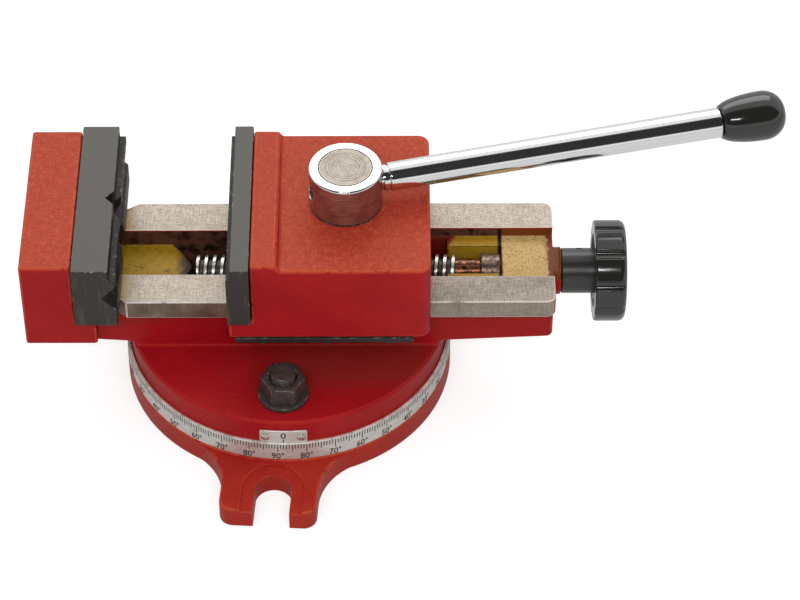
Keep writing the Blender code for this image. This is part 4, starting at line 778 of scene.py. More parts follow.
# swivel base
baseSettings = {
    "turn": -3.8, "radius": 80.3, "plate": 12.0, "relief": 2.0, "reliefIn": 26.0, "reliefOut": 71.3,
    "lugWidth": 46.8, "lugShift": 1.2, "slotShift": 0.6, "lugReach": 111.9, "lugCorner": 6.5,
    "fillet": 32.0, "slotWidth": 17.5, "slotDepth": 23.6, "spotWidth": 29.8, "spotDepth": 1.2,
    "grooveCircle": 60.0, "grooveNeck": 6.6, "grooveHead": 11.6, "grooveFloor": 7.0, "grooveRoof": 15.7,
    "bore": 8.3, "boreFloor": 12.5, "entryAngle": -35.0, "edge": 1.1, "slotEdge": 0.35, "seat": 1.8,
    "overlap": 0.35,
}


def lugOutline(use):
    # one lug with its fillets; its inner end lies inside the round base
    half = use.lugWidth / 2
    points = []
    for side in (1, -1):
        edge = half + side * use.lugShift
        filletX = edge + use.fillet
        # the fillet ends a little inside the round wall
        filletY = math.sqrt((use.radius - use.overlap + use.fillet) ** 2 - filletX ** 2)
        meet = math.degrees(math.atan2(filletY, filletX))
        inner = use.radius - 4
        cornerX = edge - use.lugCorner
        cornerY = use.lugReach - use.lugCorner
        quarter = [(inner * math.cos(math.radians(meet)), inner * math.sin(math.radians(meet)))]
        quarter += curved(filletX, filletY, use.fillet, 180 + meet, 180, 14)
        quarter += curved(cornerX, cornerY, use.lugCorner, 0, 90)
        points += quarter if side > 0 else [(-x, y) for x, y in reversed(quarter)]
    return points


def slotOutline(use, width, side):
    half = width / 2
    centreY = use.lugReach - use.slotDepth + use.slotWidth / 2
    outside = use.lugReach + past
    points = curved(0, -centreY, half, 0, 180, 20) + [(-half, -outside), (half, -outside)]
    return [(side * (x + use.slotShift), side * y) for x, y in points]


def makeBase():
    use = SimpleNamespace(**baseSettings)
    ringLow, ringHigh = place("scale_ring")
    top, under = ringHigh.z, ringLow.z - gap
    seat = ringHigh.x - use.seat
    circle = use.grooveCircle
    neckIn, neckOut = circle - use.grooveNeck, circle + use.grooveNeck
    headIn, headOut = circle - use.grooveHead, circle + use.grooveHead
    floor, roof = use.grooveFloor, use.grooveRoof
    disc = turnProfile([
        (0, use.boreFloor), (use.bore, use.boreFloor), (use.bore, top), (neckIn, top),
        (neckIn, roof), (headIn, roof), (headIn, floor), (headOut, floor), (headOut, roof),
        (neckOut, roof), (neckOut, top), (seat, top), (seat, under), (use.radius, under),
        (use.radius, 0), (use.reliefOut, 0), (use.reliefOut, use.relief),
        (use.reliefIn, use.relief), (use.reliefIn, 0), (0, 0)], 144)
    lugs = []
    for turn in (0, 180):
        lug = placed(liftOutline(lugOutline(use), 0, use.plate), aboutZ(turn))
        lugs.append(carve(lug, cuts=[post(0, 0, -1, use.plate + 1, headOut + 0.5, 96)]))
    shape = carve(disc, joins=lugs)
    softenEdges(shape, use.edge, 3, choose=lambda edge: outerEdge(edge, circle + 14))
    angle = math.radians(use.entryAngle)
    cuts = [post(circle * math.cos(angle), circle * math.sin(angle), floor + 0.5, top + past,
                 use.grooveHead)]
    for side in (1, -1):
        cuts.append(liftOutline(slotOutline(use, use.slotWidth, side), -past, use.plate + past))
        cuts.append(liftOutline(slotOutline(use, use.spotWidth, side),
                                use.plate - use.spotDepth, use.plate + 0.5))
    shape = carve(shape, cuts=cuts)
    softenEdges(shape, use.slotEdge, 2, choose=lambda edge: slotEdge(edge, use.spotWidth / 2 + 0.3))
    placed(shape, aboutZ(use.turn))

    def pick(face, centre):
        # iron on the underside and inside the groove
        underside = face.normal.z < -0.7 and centre.z < 0.5
        reach = max(vert.co.xy.length for vert in face.verts)
        return 1 if underside or reach < headOut + 0.6 else 0
    newPiece("swivel_base_casting", shape, "base", "red_casting", [basePaint, rawIron], "swivel_base",
             pick=pick)


def outerEdge(edge, radius):
    # outer edges of the base; the lugs' top edges stop where they run into the round wall
    reach = min(vert.co.xy.length for vert in edge.verts)
    onLug = all(abs(vert.co.z - baseSettings["plate"]) < 0.1 for vert in edge.verts)
    return reach > (baseSettings["radius"] + 2.5 if onLug else radius)


def slotEdge(edge, half):
    # edges of the slots and their spot faces
    middle = edgeMiddle(edge)
    return abs(middle.y) > baseSettings["radius"] + 4 and abs(middle.x) < half


makeBase()


# graduated ring with its marks
scaleSettings = {
    "turn": -2.7, "wall": 1.5, "edge": 0.25, "tickWidth": 0.44, "tick": 3.1, "fiveTick": 4.2,
    "tenTick": 5.2, "topInset": 0.3, "figureSize": 5.4, "figureBase": 0.6, "squeeze": 0.84,
    "bold": 0.07, "lift": 0.03,
}


def figure(text, size, squeeze, thick):
    # a flat figure, centred on X, its baseline at Y 0
    curve = bpy.data.curves.new("figure", "FONT")
    curve.body = text
    curve.size = size
    curve.align_x = "CENTER"
    curve.extrude = thick
    curve.offset = scaleSettings["bold"]
    curve.resolution_u = 3
    thing = bpy.data.objects.new("figure", curve)
    scene.collection.objects.link(thing)
    bpy.context.view_layer.update()
    mesh = bpy.data.meshes.new_from_object(thing.evaluated_get(bpy.context.evaluated_depsgraph_get()))
    bpy.data.objects.remove(thing, do_unlink=True)
    shape = bmesh.new()
    shape.from_mesh(mesh)
    bpy.data.meshes.remove(mesh)
    bmesh.ops.remove_doubles(shape, verts=shape.verts, dist=0.0001)
    bmesh.ops.scale(shape, vec=(squeeze, 1, 1), verts=shape.verts)
    return shape


def wrap(shape, radius, turn, height):
    # bends a flat shape in X and Y round the swivel axis, with its Z outwards
    for vert in shape.verts:
        angle = math.radians(turn) + vert.co.x / radius
        reach = radius + vert.co.z
        vert.co = Vector((reach * math.cos(angle), reach * math.sin(angle), height + vert.co.y))
    return shape


def gather(target, shape):
    # adds one shape to another
    mesh = bpy.data.meshes.new("gathered")
    shape.to_mesh(mesh)
    shape.free()
    target.from_mesh(mesh)
    bpy.data.meshes.remove(mesh)


def makeScale():
    use = SimpleNamespace(**scaleSettings)
    low, high = place("scale_ring")
    radius = high.x
    inner = radius - use.wall
    profile = rounded(ringSection(radius, inner, low.z, high.z), use.edge, 2)
    ring = turnProfile(profile, 180, aboutZ(use.turn), True)
    newPiece("graduated_ring", ring, "base", "scale_aluminium", aluminium, "scale_ring")

    marks = bmesh.new()
    top = high.z - use.topInset
    for degree in range(-180, 180):
        length = use.tick
        if degree % 5 == 0:
            length = use.fiveTick
        if degree % 10 == 0:
            length = use.tenTick
        half = use.tickWidth / 2
        tick = block((-half, -length, -use.lift), (half, 0, use.lift))
        gather(marks, wrap(tick, radius, use.turn - 90 + degree, top))
    for degree in range(-180, 180, 10):
        value = 90 - abs(degree) if abs(degree) <= 90 else abs(degree) - 90
        label = figure(f"{value}°", use.figureSize, use.squeeze, use.lift)
        gather(marks, wrap(label, radius, use.turn - 90 + degree, low.z + use.figureBase))
    newPiece("graduation_marks", marks, "base", "scale_aluminium", ink)


makeScale()


# index plate with its zero, and its rivets
indexSettings = {
    "turn": -0.7, "corner": 1.0, "edge": 0.2, "zeroSize": 5.8, "zeroBase": 2.7, "tickWidth": 0.5,
    "tickLength": 1.9, "rivetRadius": 2.3, "rivetHeight": 1.0, "rivetSpacing": 17.1,
}


def makeIndexPlate():
    use = SimpleNamespace(**indexSettings)
    low, high = place("index_plate")
    outer = -low.y
    half = (high.x - low.x) / 2
    height = high.z - low.z
    outline = rounded([(-half, 0), (half, 0), (half, height), (-half, height)], use.corner, 5)
    plate = liftOutline(outline, -0.8, 0)
    softenEdges(plate, use.edge, 2, 60)
    for step in range(1, 24):
        cutThrough(plate, (-half + 2 * half * step / 24, 0, 0), (1, 0, 0))
    wrap(plate, outer, use.turn - 90, low.z)
    newPiece("zero_plate", plate, "vise", "scale_aluminium", aluminium, "index_plate")

    marks = figure("0", use.zeroSize, 0.95, scaleSettings["lift"])
    bmesh.ops.translate(marks, verts=marks.verts, vec=(0, use.zeroBase, 0))
    thick = scaleSettings["lift"]
    tick = block((-use.tickWidth / 2, 0.1, -thick), (use.tickWidth / 2, use.tickLength, thick))
    gather(marks, tick)
    wrap(marks, outer, use.turn - 90, low.z)
    newPiece("zero_mark", marks, "vise", "scale_aluminium", ink)

    for side, word in ((-1, "left"), (1, "right")):
        size = use.rivetRadius
        dome = [(size * math.sin(math.radians(turn)), use.rivetHeight * math.cos(math.radians(turn)))
                for turn in range(0, 91, 10)]
        angle = use.turn - 90 + math.degrees(side * use.rivetSpacing / 2 / (outer - 1.1))
        profile = dome + [(size - 0.1, -0.15), (1.2, -0.2), (1.2, -5), (0, -5)]
        matrix = aboutZ(angle) @ alongX(outer + 0.25, low.z + height / 2)
        rivet = turnProfile(profile, 32, matrix)
        newPiece("domed_rivet_" + word, rivet, "vise", "scale_aluminium", rivetSteel, "index_rivet_" + word)


makeIndexPlate()


# vise body
bodySettings = {
    "tableRadius": 78.2, "tableEdge": 1.0, "webWidth": 54.0, "webLeft": -117.95, "webRight": 129.0,
    "webCorner": 3.0, "webLeftRise": 5.9, "webRightRise": 5.3, "rootRise": 2.4, "rootX": 72.2,
    "rootSlope": 4.0, "railWidth": 68.0, "railDepth": 10.7, "railLeft": -80.0, "railRight": 129.7,
    "leftChamfer": 4.0, "rearChamfer": 7.0, "rightCorner": 4.5, "blockLeft": -123.45,
    "blockFace": -99.2, "blockWidth": 94.6, "blockTop": 36.4, "blockDrop": 14.6, "blockFoot": 9.9,
    "bossRadius": 11.5, "bossEnd": 133.2, "channelWidth": 30.0, "channelLeft": -86.0,
    "channelFloor": 9.8, "pocketLeft": -56.0, "pocketRight": 78.0, "pocketDepth": 27.0,
    "noseLength": 10.0, "shelfWidth": 32.8, "shelfDepth": 5.5, "endBlock": 104.2, "trough": 9.2,
    "castEdge": 1.2, "groundEdge": 0.55, "bearing": 5.3, "pivotBore": 8.3, "pivotDepth": 12.3,
    "boltHole": 6.6, "headDepth": 8.8,
}
screwHoles = {"hole": 4.3, "headRoom": 7.0}


def counterbores(jaw, left, right, floor):
    # cuts for the two screws of a jaw plate, with their heads on the left
    cuts = []
    for word in ("front", "rear"):
        middle = middleOf(f"{jaw}_screw_{word}")
        cuts.append(rod(left, right, middle.y, middle.z, screwHoles["hole"], 32))
        cuts.append(rod(left, floor, middle.y, middle.z, screwHoles["headRoom"], 32))
    return cuts


def makeBody():
    use = SimpleNamespace(**bodySettings)
    table = turnProfile([
        (0, tableTop), (use.tableRadius - use.tableEdge, tableTop),
        (use.tableRadius - 0.3, tableTop - 0.3), (use.tableRadius, tableTop - use.tableEdge),
        (use.tableRadius, tableBottom), (0, tableBottom)], 144)
    halfWeb, half = use.webWidth / 2, use.railWidth / 2
    slopeX = use.rootX + use.rootSlope
    blockBottom = railTop - use.blockDrop
    footEnd = use.blockFace + use.blockFoot
    under = railTop - use.railDepth + bite
    web = liftOutline(rounded([
        (use.webLeft, blockBottom + bite), (use.webLeft, tableTop + use.webLeftRise),
        (-slopeX, tableTop + use.rootRise), (-use.rootX, tableTop - bite),
        (use.rootX, tableTop - bite), (slopeX, tableTop + use.rootRise),
        (use.webRight, tableTop + use.webRightRise), (use.webRight, under),
        (footEnd - bite, under), (use.blockFace, blockBottom + bite)],
        [use.webCorner if index == 6 else 0 for index in range(10)], 5), -halfWeb, halfWeb, "XZ")
    left = use.railLeft
    inner = use.blockFace - bite
    rails = liftOutline([
        (inner, -halfWeb), (left, -halfWeb), (left, use.leftChamfer - half),
        (left + use.leftChamfer, -half), *rightEnd(use.railRight, half, use.rightCorner, 8),
        (left + use.rearChamfer, half), (left, half - use.rearChamfer * 0.65), (left, halfWeb),
        (inner, halfWeb)], railTop - use.railDepth, railTop)
    halfBlock = use.blockWidth / 2
    footTop = railTop + plateLift - gap
    top = railTop + use.blockTop
    head = liftOutline([
        (use.blockLeft, blockBottom), (footEnd, blockBottom), (footEnd, footTop),
        (use.blockFace, footTop), (use.blockFace, top), (use.blockLeft, top)],
        -halfBlock, halfBlock, "XZ")
    boss = rod(use.webRight - bite, use.bossEnd, 0, screwZ, use.bossRadius, 64)

    halfChannel = use.channelWidth / 2
    nose = [(use.pocketLeft + use.noseLength * (1 - abs(step / 8) ** 1.4), halfChannel * step / 8)
            for step in range(8, -9, -1)]
    pocket = liftOutline([
        (use.pocketLeft, -halfChannel), (use.pocketRight, -halfChannel),
        (use.pocketRight, halfChannel)] + nose[:-1], railTop - use.pocketDepth, top)
    channelRight = use.pocketLeft + use.noseLength + past
    halfShelf = use.shelfWidth / 2
    troughLeft = use.pocketRight - past
    channelFloor, shelfFloor = railTop - use.channelFloor, railTop - use.shelfDepth
    cuts = [
        pocket,
        slab(use.channelLeft, channelRight, halfChannel, channelFloor, railTop + plateLift),
        slab(use.pocketRight - 18, use.railRight + past, halfShelf, shelfFloor, railTop + past),
        rod(troughLeft, use.endBlock, 0, screwZ, use.trough),
        slab(troughLeft, use.endBlock, use.trough, screwZ, railTop),
        rod(use.endBlock - past, use.bossEnd + past, 0, screwZ, use.bearing),
        post(0, 0, tableBottom - past, tableBottom + use.pivotDepth, use.pivotBore),
    ]
    for node in ("t_bolt_front", "t_bolt_rear"):
        middle = middleOf(node)
        cuts.append(post(middle.x, middle.y, tableBottom - past, tableTop + past, use.boltHole))
    cuts += counterbores("fixed_jaw", use.blockLeft - past, use.blockFace + past,
                         use.blockLeft + use.headDepth)
    shape = carve(table, joins=[web, rails, head, boss], cuts=cuts)
    cutThrough(shape, (use.railRight + 0.6, 0, 0), (1, 0, 0))

    def ground(edge):
        # edges of the rails and of what is machined between them
        low = min(vert.co.z for vert in edge.verts)
        middle = edgeMiddle(edge)
        onRails = low > railTop - use.railDepth - 0.1 and middle.x > left - 6
        return onRails or abs(middle.y) < halfChannel + 2 and low > tableTop + 5 and middle.x > left - 7

    def cast(edge):
        # outer edges, and the root of the web on the turntable
        root = max(vert.co.z for vert in edge.verts) < tableTop + 3
        return not ground(edge) and not hiddenEdge(edge) and (edge.calc_face_angle_signed() > 0 or root)
    softenEdges(shape, use.castEdge, 3, choose=cast)
    softenEdges(shape, use.groundEdge, 2, choose=ground)

    def pick(face, centre):
        level = face.normal.z > 0.5
        onRails = left - 1.2 < centre.x < use.railRight + 0.1 and centre.z > railTop - use.railDepth
        inChannel = max(abs(vert.co.y) for vert in face.verts) < halfShelf + 0.4
        along = use.channelLeft - 1 < centre.x < use.railRight
        if inChannel and along and tableTop + 2 < centre.z < railTop - 0.6:
            return 2
        if centre.x > use.railRight and centre.z > screwZ + 4 and abs(centre.y) < use.bossRadius - 1:
            return 2
        if onRails and centre.z > railTop - 0.6 and level:
            return 1
        flank = abs(face.normal.z) < 0.5 and face.normal.x < 0.85
        if onRails and flank and abs(centre.y) > halfShelf + 0.6:
            return 3
        return 4 if centre.z < tableBottom + 0.2 else 0
    newPiece("vise_body_casting", shape, "vise", "red_casting",
             [paint, railSteel, bayFinish, railSide, rawIron], "vise_body", pick=pick)


def hiddenEdge(edge):
    # edges on the underside of the turntable stay sharp
    return max(vert.co.z for vert in edge.verts) < tableBottom + 0.5


makeBody()
print("castings made")


# jaw plates
jawSettings = {
    "step": 6.4, "fixedStep": 2.85, "movingStep": 2.0, "veeHalf": 7.4, "veeDepth": 6.7,
    "veeHeight": 18.1, "edge": 0.45, "headDepth": 6.0,
}


def makeJawPlates():
    use = SimpleNamespace(**jawSettings)
    low, high = place("fixed_jaw_plate")
    ledge = high.z - use.step
    middle = low.z + use.veeHeight
    veeX, stepX = high.x - use.veeDepth, high.x - use.fixedStep
    outline = [
        (low.x, low.z), (high.x, low.z), (high.x, middle - use.veeHalf), (veeX, middle),
        (high.x, middle + use.veeHalf), (high.x, ledge), (stepX, ledge), (stepX, high.z),
        (low.x, high.z)]
    plate = liftOutline(outline, low.y, high.y, "XZ")
    slope = use.veeHalf * (1 + 0.5 / use.veeDepth)
    groove = liftOutline([(high.x + 0.5, -slope), (high.x + 0.5, slope), (veeX, 0)],
                         low.z - past, high.z + past)
    shape = carve(plate, cuts=[groove])
    softenEdges(shape, use.edge, 2, 30)
    newPiece("fixed_jaw_facing", shape, "vise", "jaw_plate_steel", plateSteel, "fixed_jaw_plate")

    low, high = place("moving_jaw_plate")
    ledge = high.z - use.step
    outline = [
        (high.x, low.z), (low.x, low.z), (low.x, ledge), (low.x + use.movingStep, ledge),
        (low.x + use.movingStep, high.z), (high.x, high.z)]
    plate = liftOutline(outline, low.y, high.y, "XZ")
    cuts = counterbores("moving_jaw", low.x - past, high.x + past, low.x + use.headDepth)
    shape = carve(plate, cuts=cuts)
    softenEdges(shape, use.edge, 2, 30)
    newPiece("moving_jaw_facing", shape, "jaw", "jaw_plate_steel", plateSteel, "moving_jaw_plate")


makeJawPlates()


# moving jaw saddle
saddleSettings = {
    "foot": 10.9, "stripRise": 2.9, "stripLength": 12.2, "stripSlope": 1.7, "corner": 5.5,
    "bridge": 34.3, "pocketTop": 14.0, "pocketHalfLength": 19.65, "pocketHalfWidth": 15.3,
    "shaftBore": 13.0, "edge": 1.3,
}


def makeSaddle():
    use = SimpleNamespace(**saddleSettings)
    low, high = place("moving_jaw")
    left = low.x + use.foot
    top = saddleTop
    strip = top + use.stripRise
    stripX = left + use.stripLength
    half = high.y
    footTop = railTop + plateLift - gap
    side = liftOutline([
        (low.x, low.z), (high.x, low.z), (high.x, top), (stripX + use.stripSlope, top), (stripX, strip),
        (left, strip), (left, footTop), (low.x, footTop)], -half, half, "XZ")
    plan = liftOutline([
        (low.x - past, -half - past), (left, -half - past), (left, -half),
        *rightEnd(high.x, half, use.corner, 10),
        (left, half), (left, half + past), (low.x - past, half + past)], low.z - past, strip + past)
    bridge = slab(low.x - past, high.x + past, use.bridge, low.z - past, railTop + gap)
    length, roof = use.pocketHalfLength, railTop + use.pocketTop
    pocket = slab(leverX - length, leverX + length, use.pocketHalfWidth, railTop - past, roof)
    bore = post(leverX, 0, roof - past, top + past, use.shaftBore, 64)
    shape = carve(carve(side, keeps=[plan]), cuts=[bridge, pocket, bore])
    softenEdges(shape, use.edge, 3, 25, choose=lambda edge: outside(edge, half, use.bridge))

    def pick(face, centre):
        # iron on the faces that slide on the rails and in the pocket
        inside = abs(centre.y) < use.bridge + 0.2 and centre.z < roof + 0.2
        return 1 if inside and low.x + 0.3 < centre.x < high.x - 0.3 else 0
    newPiece("moving_jaw_casting", shape, "jaw", "red_casting", [paint, rawIron], "moving_jaw", pick=pick)


def outside(edge, half, bridge):
    # outer edges of the saddle, not those of its bore and pocket
    middle = edgeMiddle(edge)
    return abs(middle.y) > bridge + 1 or middle.z > railTop + 16 and fromLever(middle) > 20


makeSaddle()


# keeper plates under the rails, with their screws
keeperSettings = {
    "edge": 0.4, "headHeight": 2.8, "headEdge": 0.5, "shank": 2.2, "socketDepth": 1.5,
}


def makeKeepers():
    use = SimpleNamespace(**keeperSettings)
    for word in ("front", "rear"):
        shape = softenEdges(block(*place("keeper_plate_" + word)), use.edge, 2)
        newPiece("keeper_bar_" + word, shape, "jaw", "black_oxide", keeperShadedOxide, "keeper_plate_" + word)
        for number in (1, 2, 3):
            node = f"keeper_screw_{word}_{number}"
            low, high = place(node)
            middle = middleOf(node)
            radius, height, length = (high.x - low.x) / 2, use.headHeight, high.z - low.z
            head = rounded([(0, 0), (radius, 0), (radius, height), (use.shank, height)],
                           [0, use.headEdge, 0.15, 0], 3, False)
            screw = turnProfile(head + [(use.shank, length), (0, length)], 32,
                                at(middle.x, middle.y, low.z))
            socket = post(middle.x, middle.y, low.z - 1, low.z + use.socketDepth, use.shank, 6)
            newPiece(f"keeper_cap_screw_{word}_{number}", carve(screw, cuts=[socket]), "jaw",
                     "black_oxide", blackOxide, node, sharp=35)


makeKeepers()


# clamp bolts, washers and nuts of the turntable
clampSettings = {
    "stud": 6.0, "pitch": 1.75, "threadDepth": 0.95, "head": 11.0, "headHeight": 7.5, "washer": 12.3,
    "flats": 19.0, "edge": 0.6, "crest": 0.12, "flank": 0.38,
}


def threadShape(radius, depth, pitch, length, hand=1, steps=36, crest=0.3, flank=0.2):
    # a helical surface about Z, cut flat at 0 and at its length and filled
    root = radius - depth
    rise = pitch * (1 - crest - flank * 2) / 2
    heights = [0, rise * 2, rise * 2 + pitch * flank, pitch * (1 - flank), pitch]
    radii = [root, root, radius, radius, root]
    shape = bmesh.new()
    verts = [shape.verts.new((reach, 0, height - 2 * pitch)) for reach, height in zip(radii, heights)]
    edges = [shape.edges.new(pair) for pair in zip(verts, verts[1:])]
    turns = math.ceil(length / pitch) + 4
    bmesh.ops.spin(shape, geom=verts + edges, cent=(0, 0, 0), axis=(0, 0, 1), angle=hand * math.tau * turns,
                   dvec=(0, 0, pitch / steps), steps=steps * turns, use_merge=False)
    bmesh.ops.remove_doubles(shape, verts=shape.verts, dist=0.001)
    for height, side in ((0, -1), (length, 1)):
        cutThrough(shape, (0, 0, height), (0, 0, side), True, 0.0001)
    bmesh.ops.holes_fill(shape, edges=[edge for edge in shape.edges if edge.is_boundary], sides=0)
    bmesh.ops.recalc_face_normals(shape, faces=shape.faces)
    return shape


def makeClamps():
    use = SimpleNamespace(**clampSettings)
    for word in ("front", "rear"):
        boltLow, boltHigh = place("t_bolt_" + word)
        middle = (boltLow + boltHigh) / 2
        spot = at(middle.x, middle.y)
        washerLow, washerHigh = place("clamp_washer_" + word)
        nutLow, nutHigh = place("clamp_nut_" + word)
        stud, headTop = use.stud, boltLow.z + use.headHeight
        threadLow = tableTop - 4
        stem = turnProfile([
            (0, threadLow + 1), (stud, threadLow + 1), (stud, headTop), (use.head, headTop),
            (use.head, boltLow.z), (0, boltLow.z)], 48, spot)
        thread = threadShape(stud, use.threadDepth, use.pitch, boltHigh.z - threadLow, 1, 28,
                             use.crest, use.flank)
        placed(thread, at(middle.x, middle.y, threadLow))
        trim = turnProfile([
            (0, boltHigh.z), (stud - 1.0, boltHigh.z), (stud + 0.3, boltHigh.z - 1.1),
            (stud + 0.3, threadLow - 1), (0, threadLow - 1)], 48, spot)
        bolt = carve(stem, joins=[carve(thread, keeps=[trim])])
        newPiece("clamp_bolt_" + word, bolt, "vise", "black_oxide", blackOxide, "t_bolt_" + word, sharp=35)

        hole = stud + gap
        section = ringSection(use.washer, hole, washerLow.z, washerHigh.z)
        washer = turnProfile(rounded(section, [use.edge, 0.3, 0, 0.2], 3), 72, spot, True)
        newPiece("thick_washer_" + word, washer, "vise", "black_oxide", blackOxide, "clamp_washer_" + word)

        corner, low, high = use.flats / math.sqrt(3), nutLow.z, nutHigh.z
        nut = liftOutline(curved(0, 0, corner, 0, 300, 5), low, high)
        crown = turnProfile([
            (0, high + 0.5), (use.flats / 2 - 0.9, high + 0.2), (corner + 1, high - 1.55),
            (corner + 1, low - 0.5), (0, low - 0.5)], 72)
        bore = turnProfile([
            (0, high + 1), (hole + 1.8, high + 1), (hole, high - 0.8), (hole, low - 1), (0, low - 1)], 48)
        nut = softenEdges(carve(carve(nut, keeps=[crown]), cuts=[bore]), 0.3, 2, 25)
        newPiece("hexagon_nut_" + word, placed(nut, spot), "nut_" + word, "black_oxide", blackOxide,
                 "clamp_nut_" + word, sharp=35)


makeClamps()
print("jaws and clamps made")


# lead screw with its collar
screwSettings = {
    "radius": 8.0, "depth": 2.1, "pitch": 4.0, "left": -43.8, "right": 81.7, "neck": 6.0,
    "neckRight": 94.1, "journal": 5.0, "pinRadius": 1.5, "pinTurn": 55.0, "crest": 0.34, "flank": 0.14,
    "collarEdge": 0.7,
}


def screwFinish(face, centre):
    # bright crests, dark roots between the threads and a coppery neck
    if centre.x > screwSettings["right"] + 0.2:
        return 1
    return 2 if fromScrew(centre) < screwSettings["radius"] - screwSettings["depth"] + 0.5 else 0


def makeScrew():
    use = SimpleNamespace(**screwSettings)
    low, high = place("lead_screw")
    thread = threadShape(use.radius, use.depth, use.pitch, use.right - use.left, -1, 36,
                         use.crest, use.flank)
    placed(thread, alongX(use.left, screwZ))
    start = use.right - 2
    neck, journal = use.neck, use.journal
    neckEnd, end = use.neckRight - start, high.x - start
    shank = turnProfile([
        (0, end), (journal - 0.5, end), (journal, end - 0.5), (journal, neckEnd), (neck - 0.3, neckEnd),
        (neck, neckEnd - 0.3), (neck, 2.4), (neck - 0.8, 1.4), (neck - 0.8, 0), (0, 0)],
        64, alongX(start, screwZ))
    newPiece("threaded_spindle", carve(thread, joins=[shank]), "screw", "bare_steel",
             [screwSteel, neckSteel, blackOxide], "lead_screw", sharp=32, pick=screwFinish)

    low, high = place("thrust_collar")
    section = ringSection(high.z - screwZ, journal + gap, 0, high.x - low.x)
    profile = rounded(section, [use.collarEdge, use.collarEdge, 0, 0], 3)
    collar = turnProfile(profile, 64, alongX(low.x, screwZ), True)
    newPiece("spindle_collar", collar, "screw", "bare_steel", collarSteel, "thrust_collar")


makeScrew()


# handwheel
wheelSettings = {
    "hub": 11.0, "lipWidth": 2.2, "rimWidth": 15.2, "dish": 18.0, "dishDepth": 6.0, "lip": 1.0,
    "corner": 3.4, "shift": -1.2, "radius": 24.7, "flutes": 10, "fluteRadius": 3.0, "fluteDepth": 1.2,
    "fluteTurn": 8.8, "boreFloor": 11.5, "edge": 0.55,
}


def makeWheel():
    use = SimpleNamespace(**wheelSettings)
    radius = use.radius
    rimRight = wheelHigh.x + use.shift
    rimLeft = rimRight - use.rimWidth
    hubEnd = wheelLow.x - rimLeft
    bore = screwSettings["journal"] + gap
    width = use.rimWidth
    profile = rounded([
        (0, width), (radius, width), (radius, 0), (radius - use.lipWidth, 0), (use.dish, 0),
        (use.dish - use.lip, use.dishDepth), (use.hub, use.dishDepth), (use.hub, hubEnd),
        (bore, hubEnd), (bore, use.boreFloor), (0, use.boreFloor)],
        [0, use.corner, 1.2, 0, 0.7, 1.5, 1.5, 0.8, 0.3, 0, 0], 5, False)
    wheel = turnProfile(profile, 120, alongX(rimLeft, screwZ))
    cuts = []
    for number in range(use.flutes):
        angle = math.tau * number / use.flutes + math.radians(use.fluteTurn)
        reach = radius + use.fluteRadius - use.fluteDepth
        y = reach * math.cos(angle)
        z = screwZ + reach * math.sin(angle)
        cuts.append(rod(rimLeft - past, rimRight + past, y, z, use.fluteRadius, 40))
    turn = math.radians(screwSettings["pinTurn"])
    middle = middleOf("handwheel_pin")
    across = Vector((0, math.cos(turn), math.sin(turn))) * (use.hub + past)
    cuts.append(bar(middle - across, middle + across, screwSettings["pinRadius"] + 0.3, 24))
    shape = carve(wheel, cuts=cuts)
    softenEdges(shape, use.edge, 3, 28, choose=lambda edge: fluteEdge(edge, radius))

    def pick(face, centre):
        # the end of the hub is dull
        onHub = fromScrew(centre) < use.hub + 0.2
        return 1 if onHub and centre.x < rimLeft + use.dishDepth else 0
    newPiece("fluted_handwheel", shape, "screw", "black_plastic", [blackPlastic, dullPlastic],
             "handwheel", sharp=45, pick=pick)


def fluteEdge(edge, radius):
    # edges of the flutes on the rim
    return fromScrew(edgeMiddle(edge)) > radius - 3.2


makeWheel()


# clamping lever
leverSettings = {
    "azimuth": 13.2, "hub": 17.45, "shaft": 12.6, "hubBore": 13.0, "shank": 4.5, "pinRadius": 7.0,
    "pinOffset": 3.0, "neck": 6.3, "neckLength": 3.1, "root": 6.9, "end": 7.4, "reach": 185.7,
    "spigot": 4.0, "spigotLength": 16.0, "knobLength": 32.35, "knobNeck": 8.6, "knobRadius": 12.15,
    "widest": 0.66, "dome": 0.8, "clipGroove": 1.2, "shaftRise": 11.0,
}


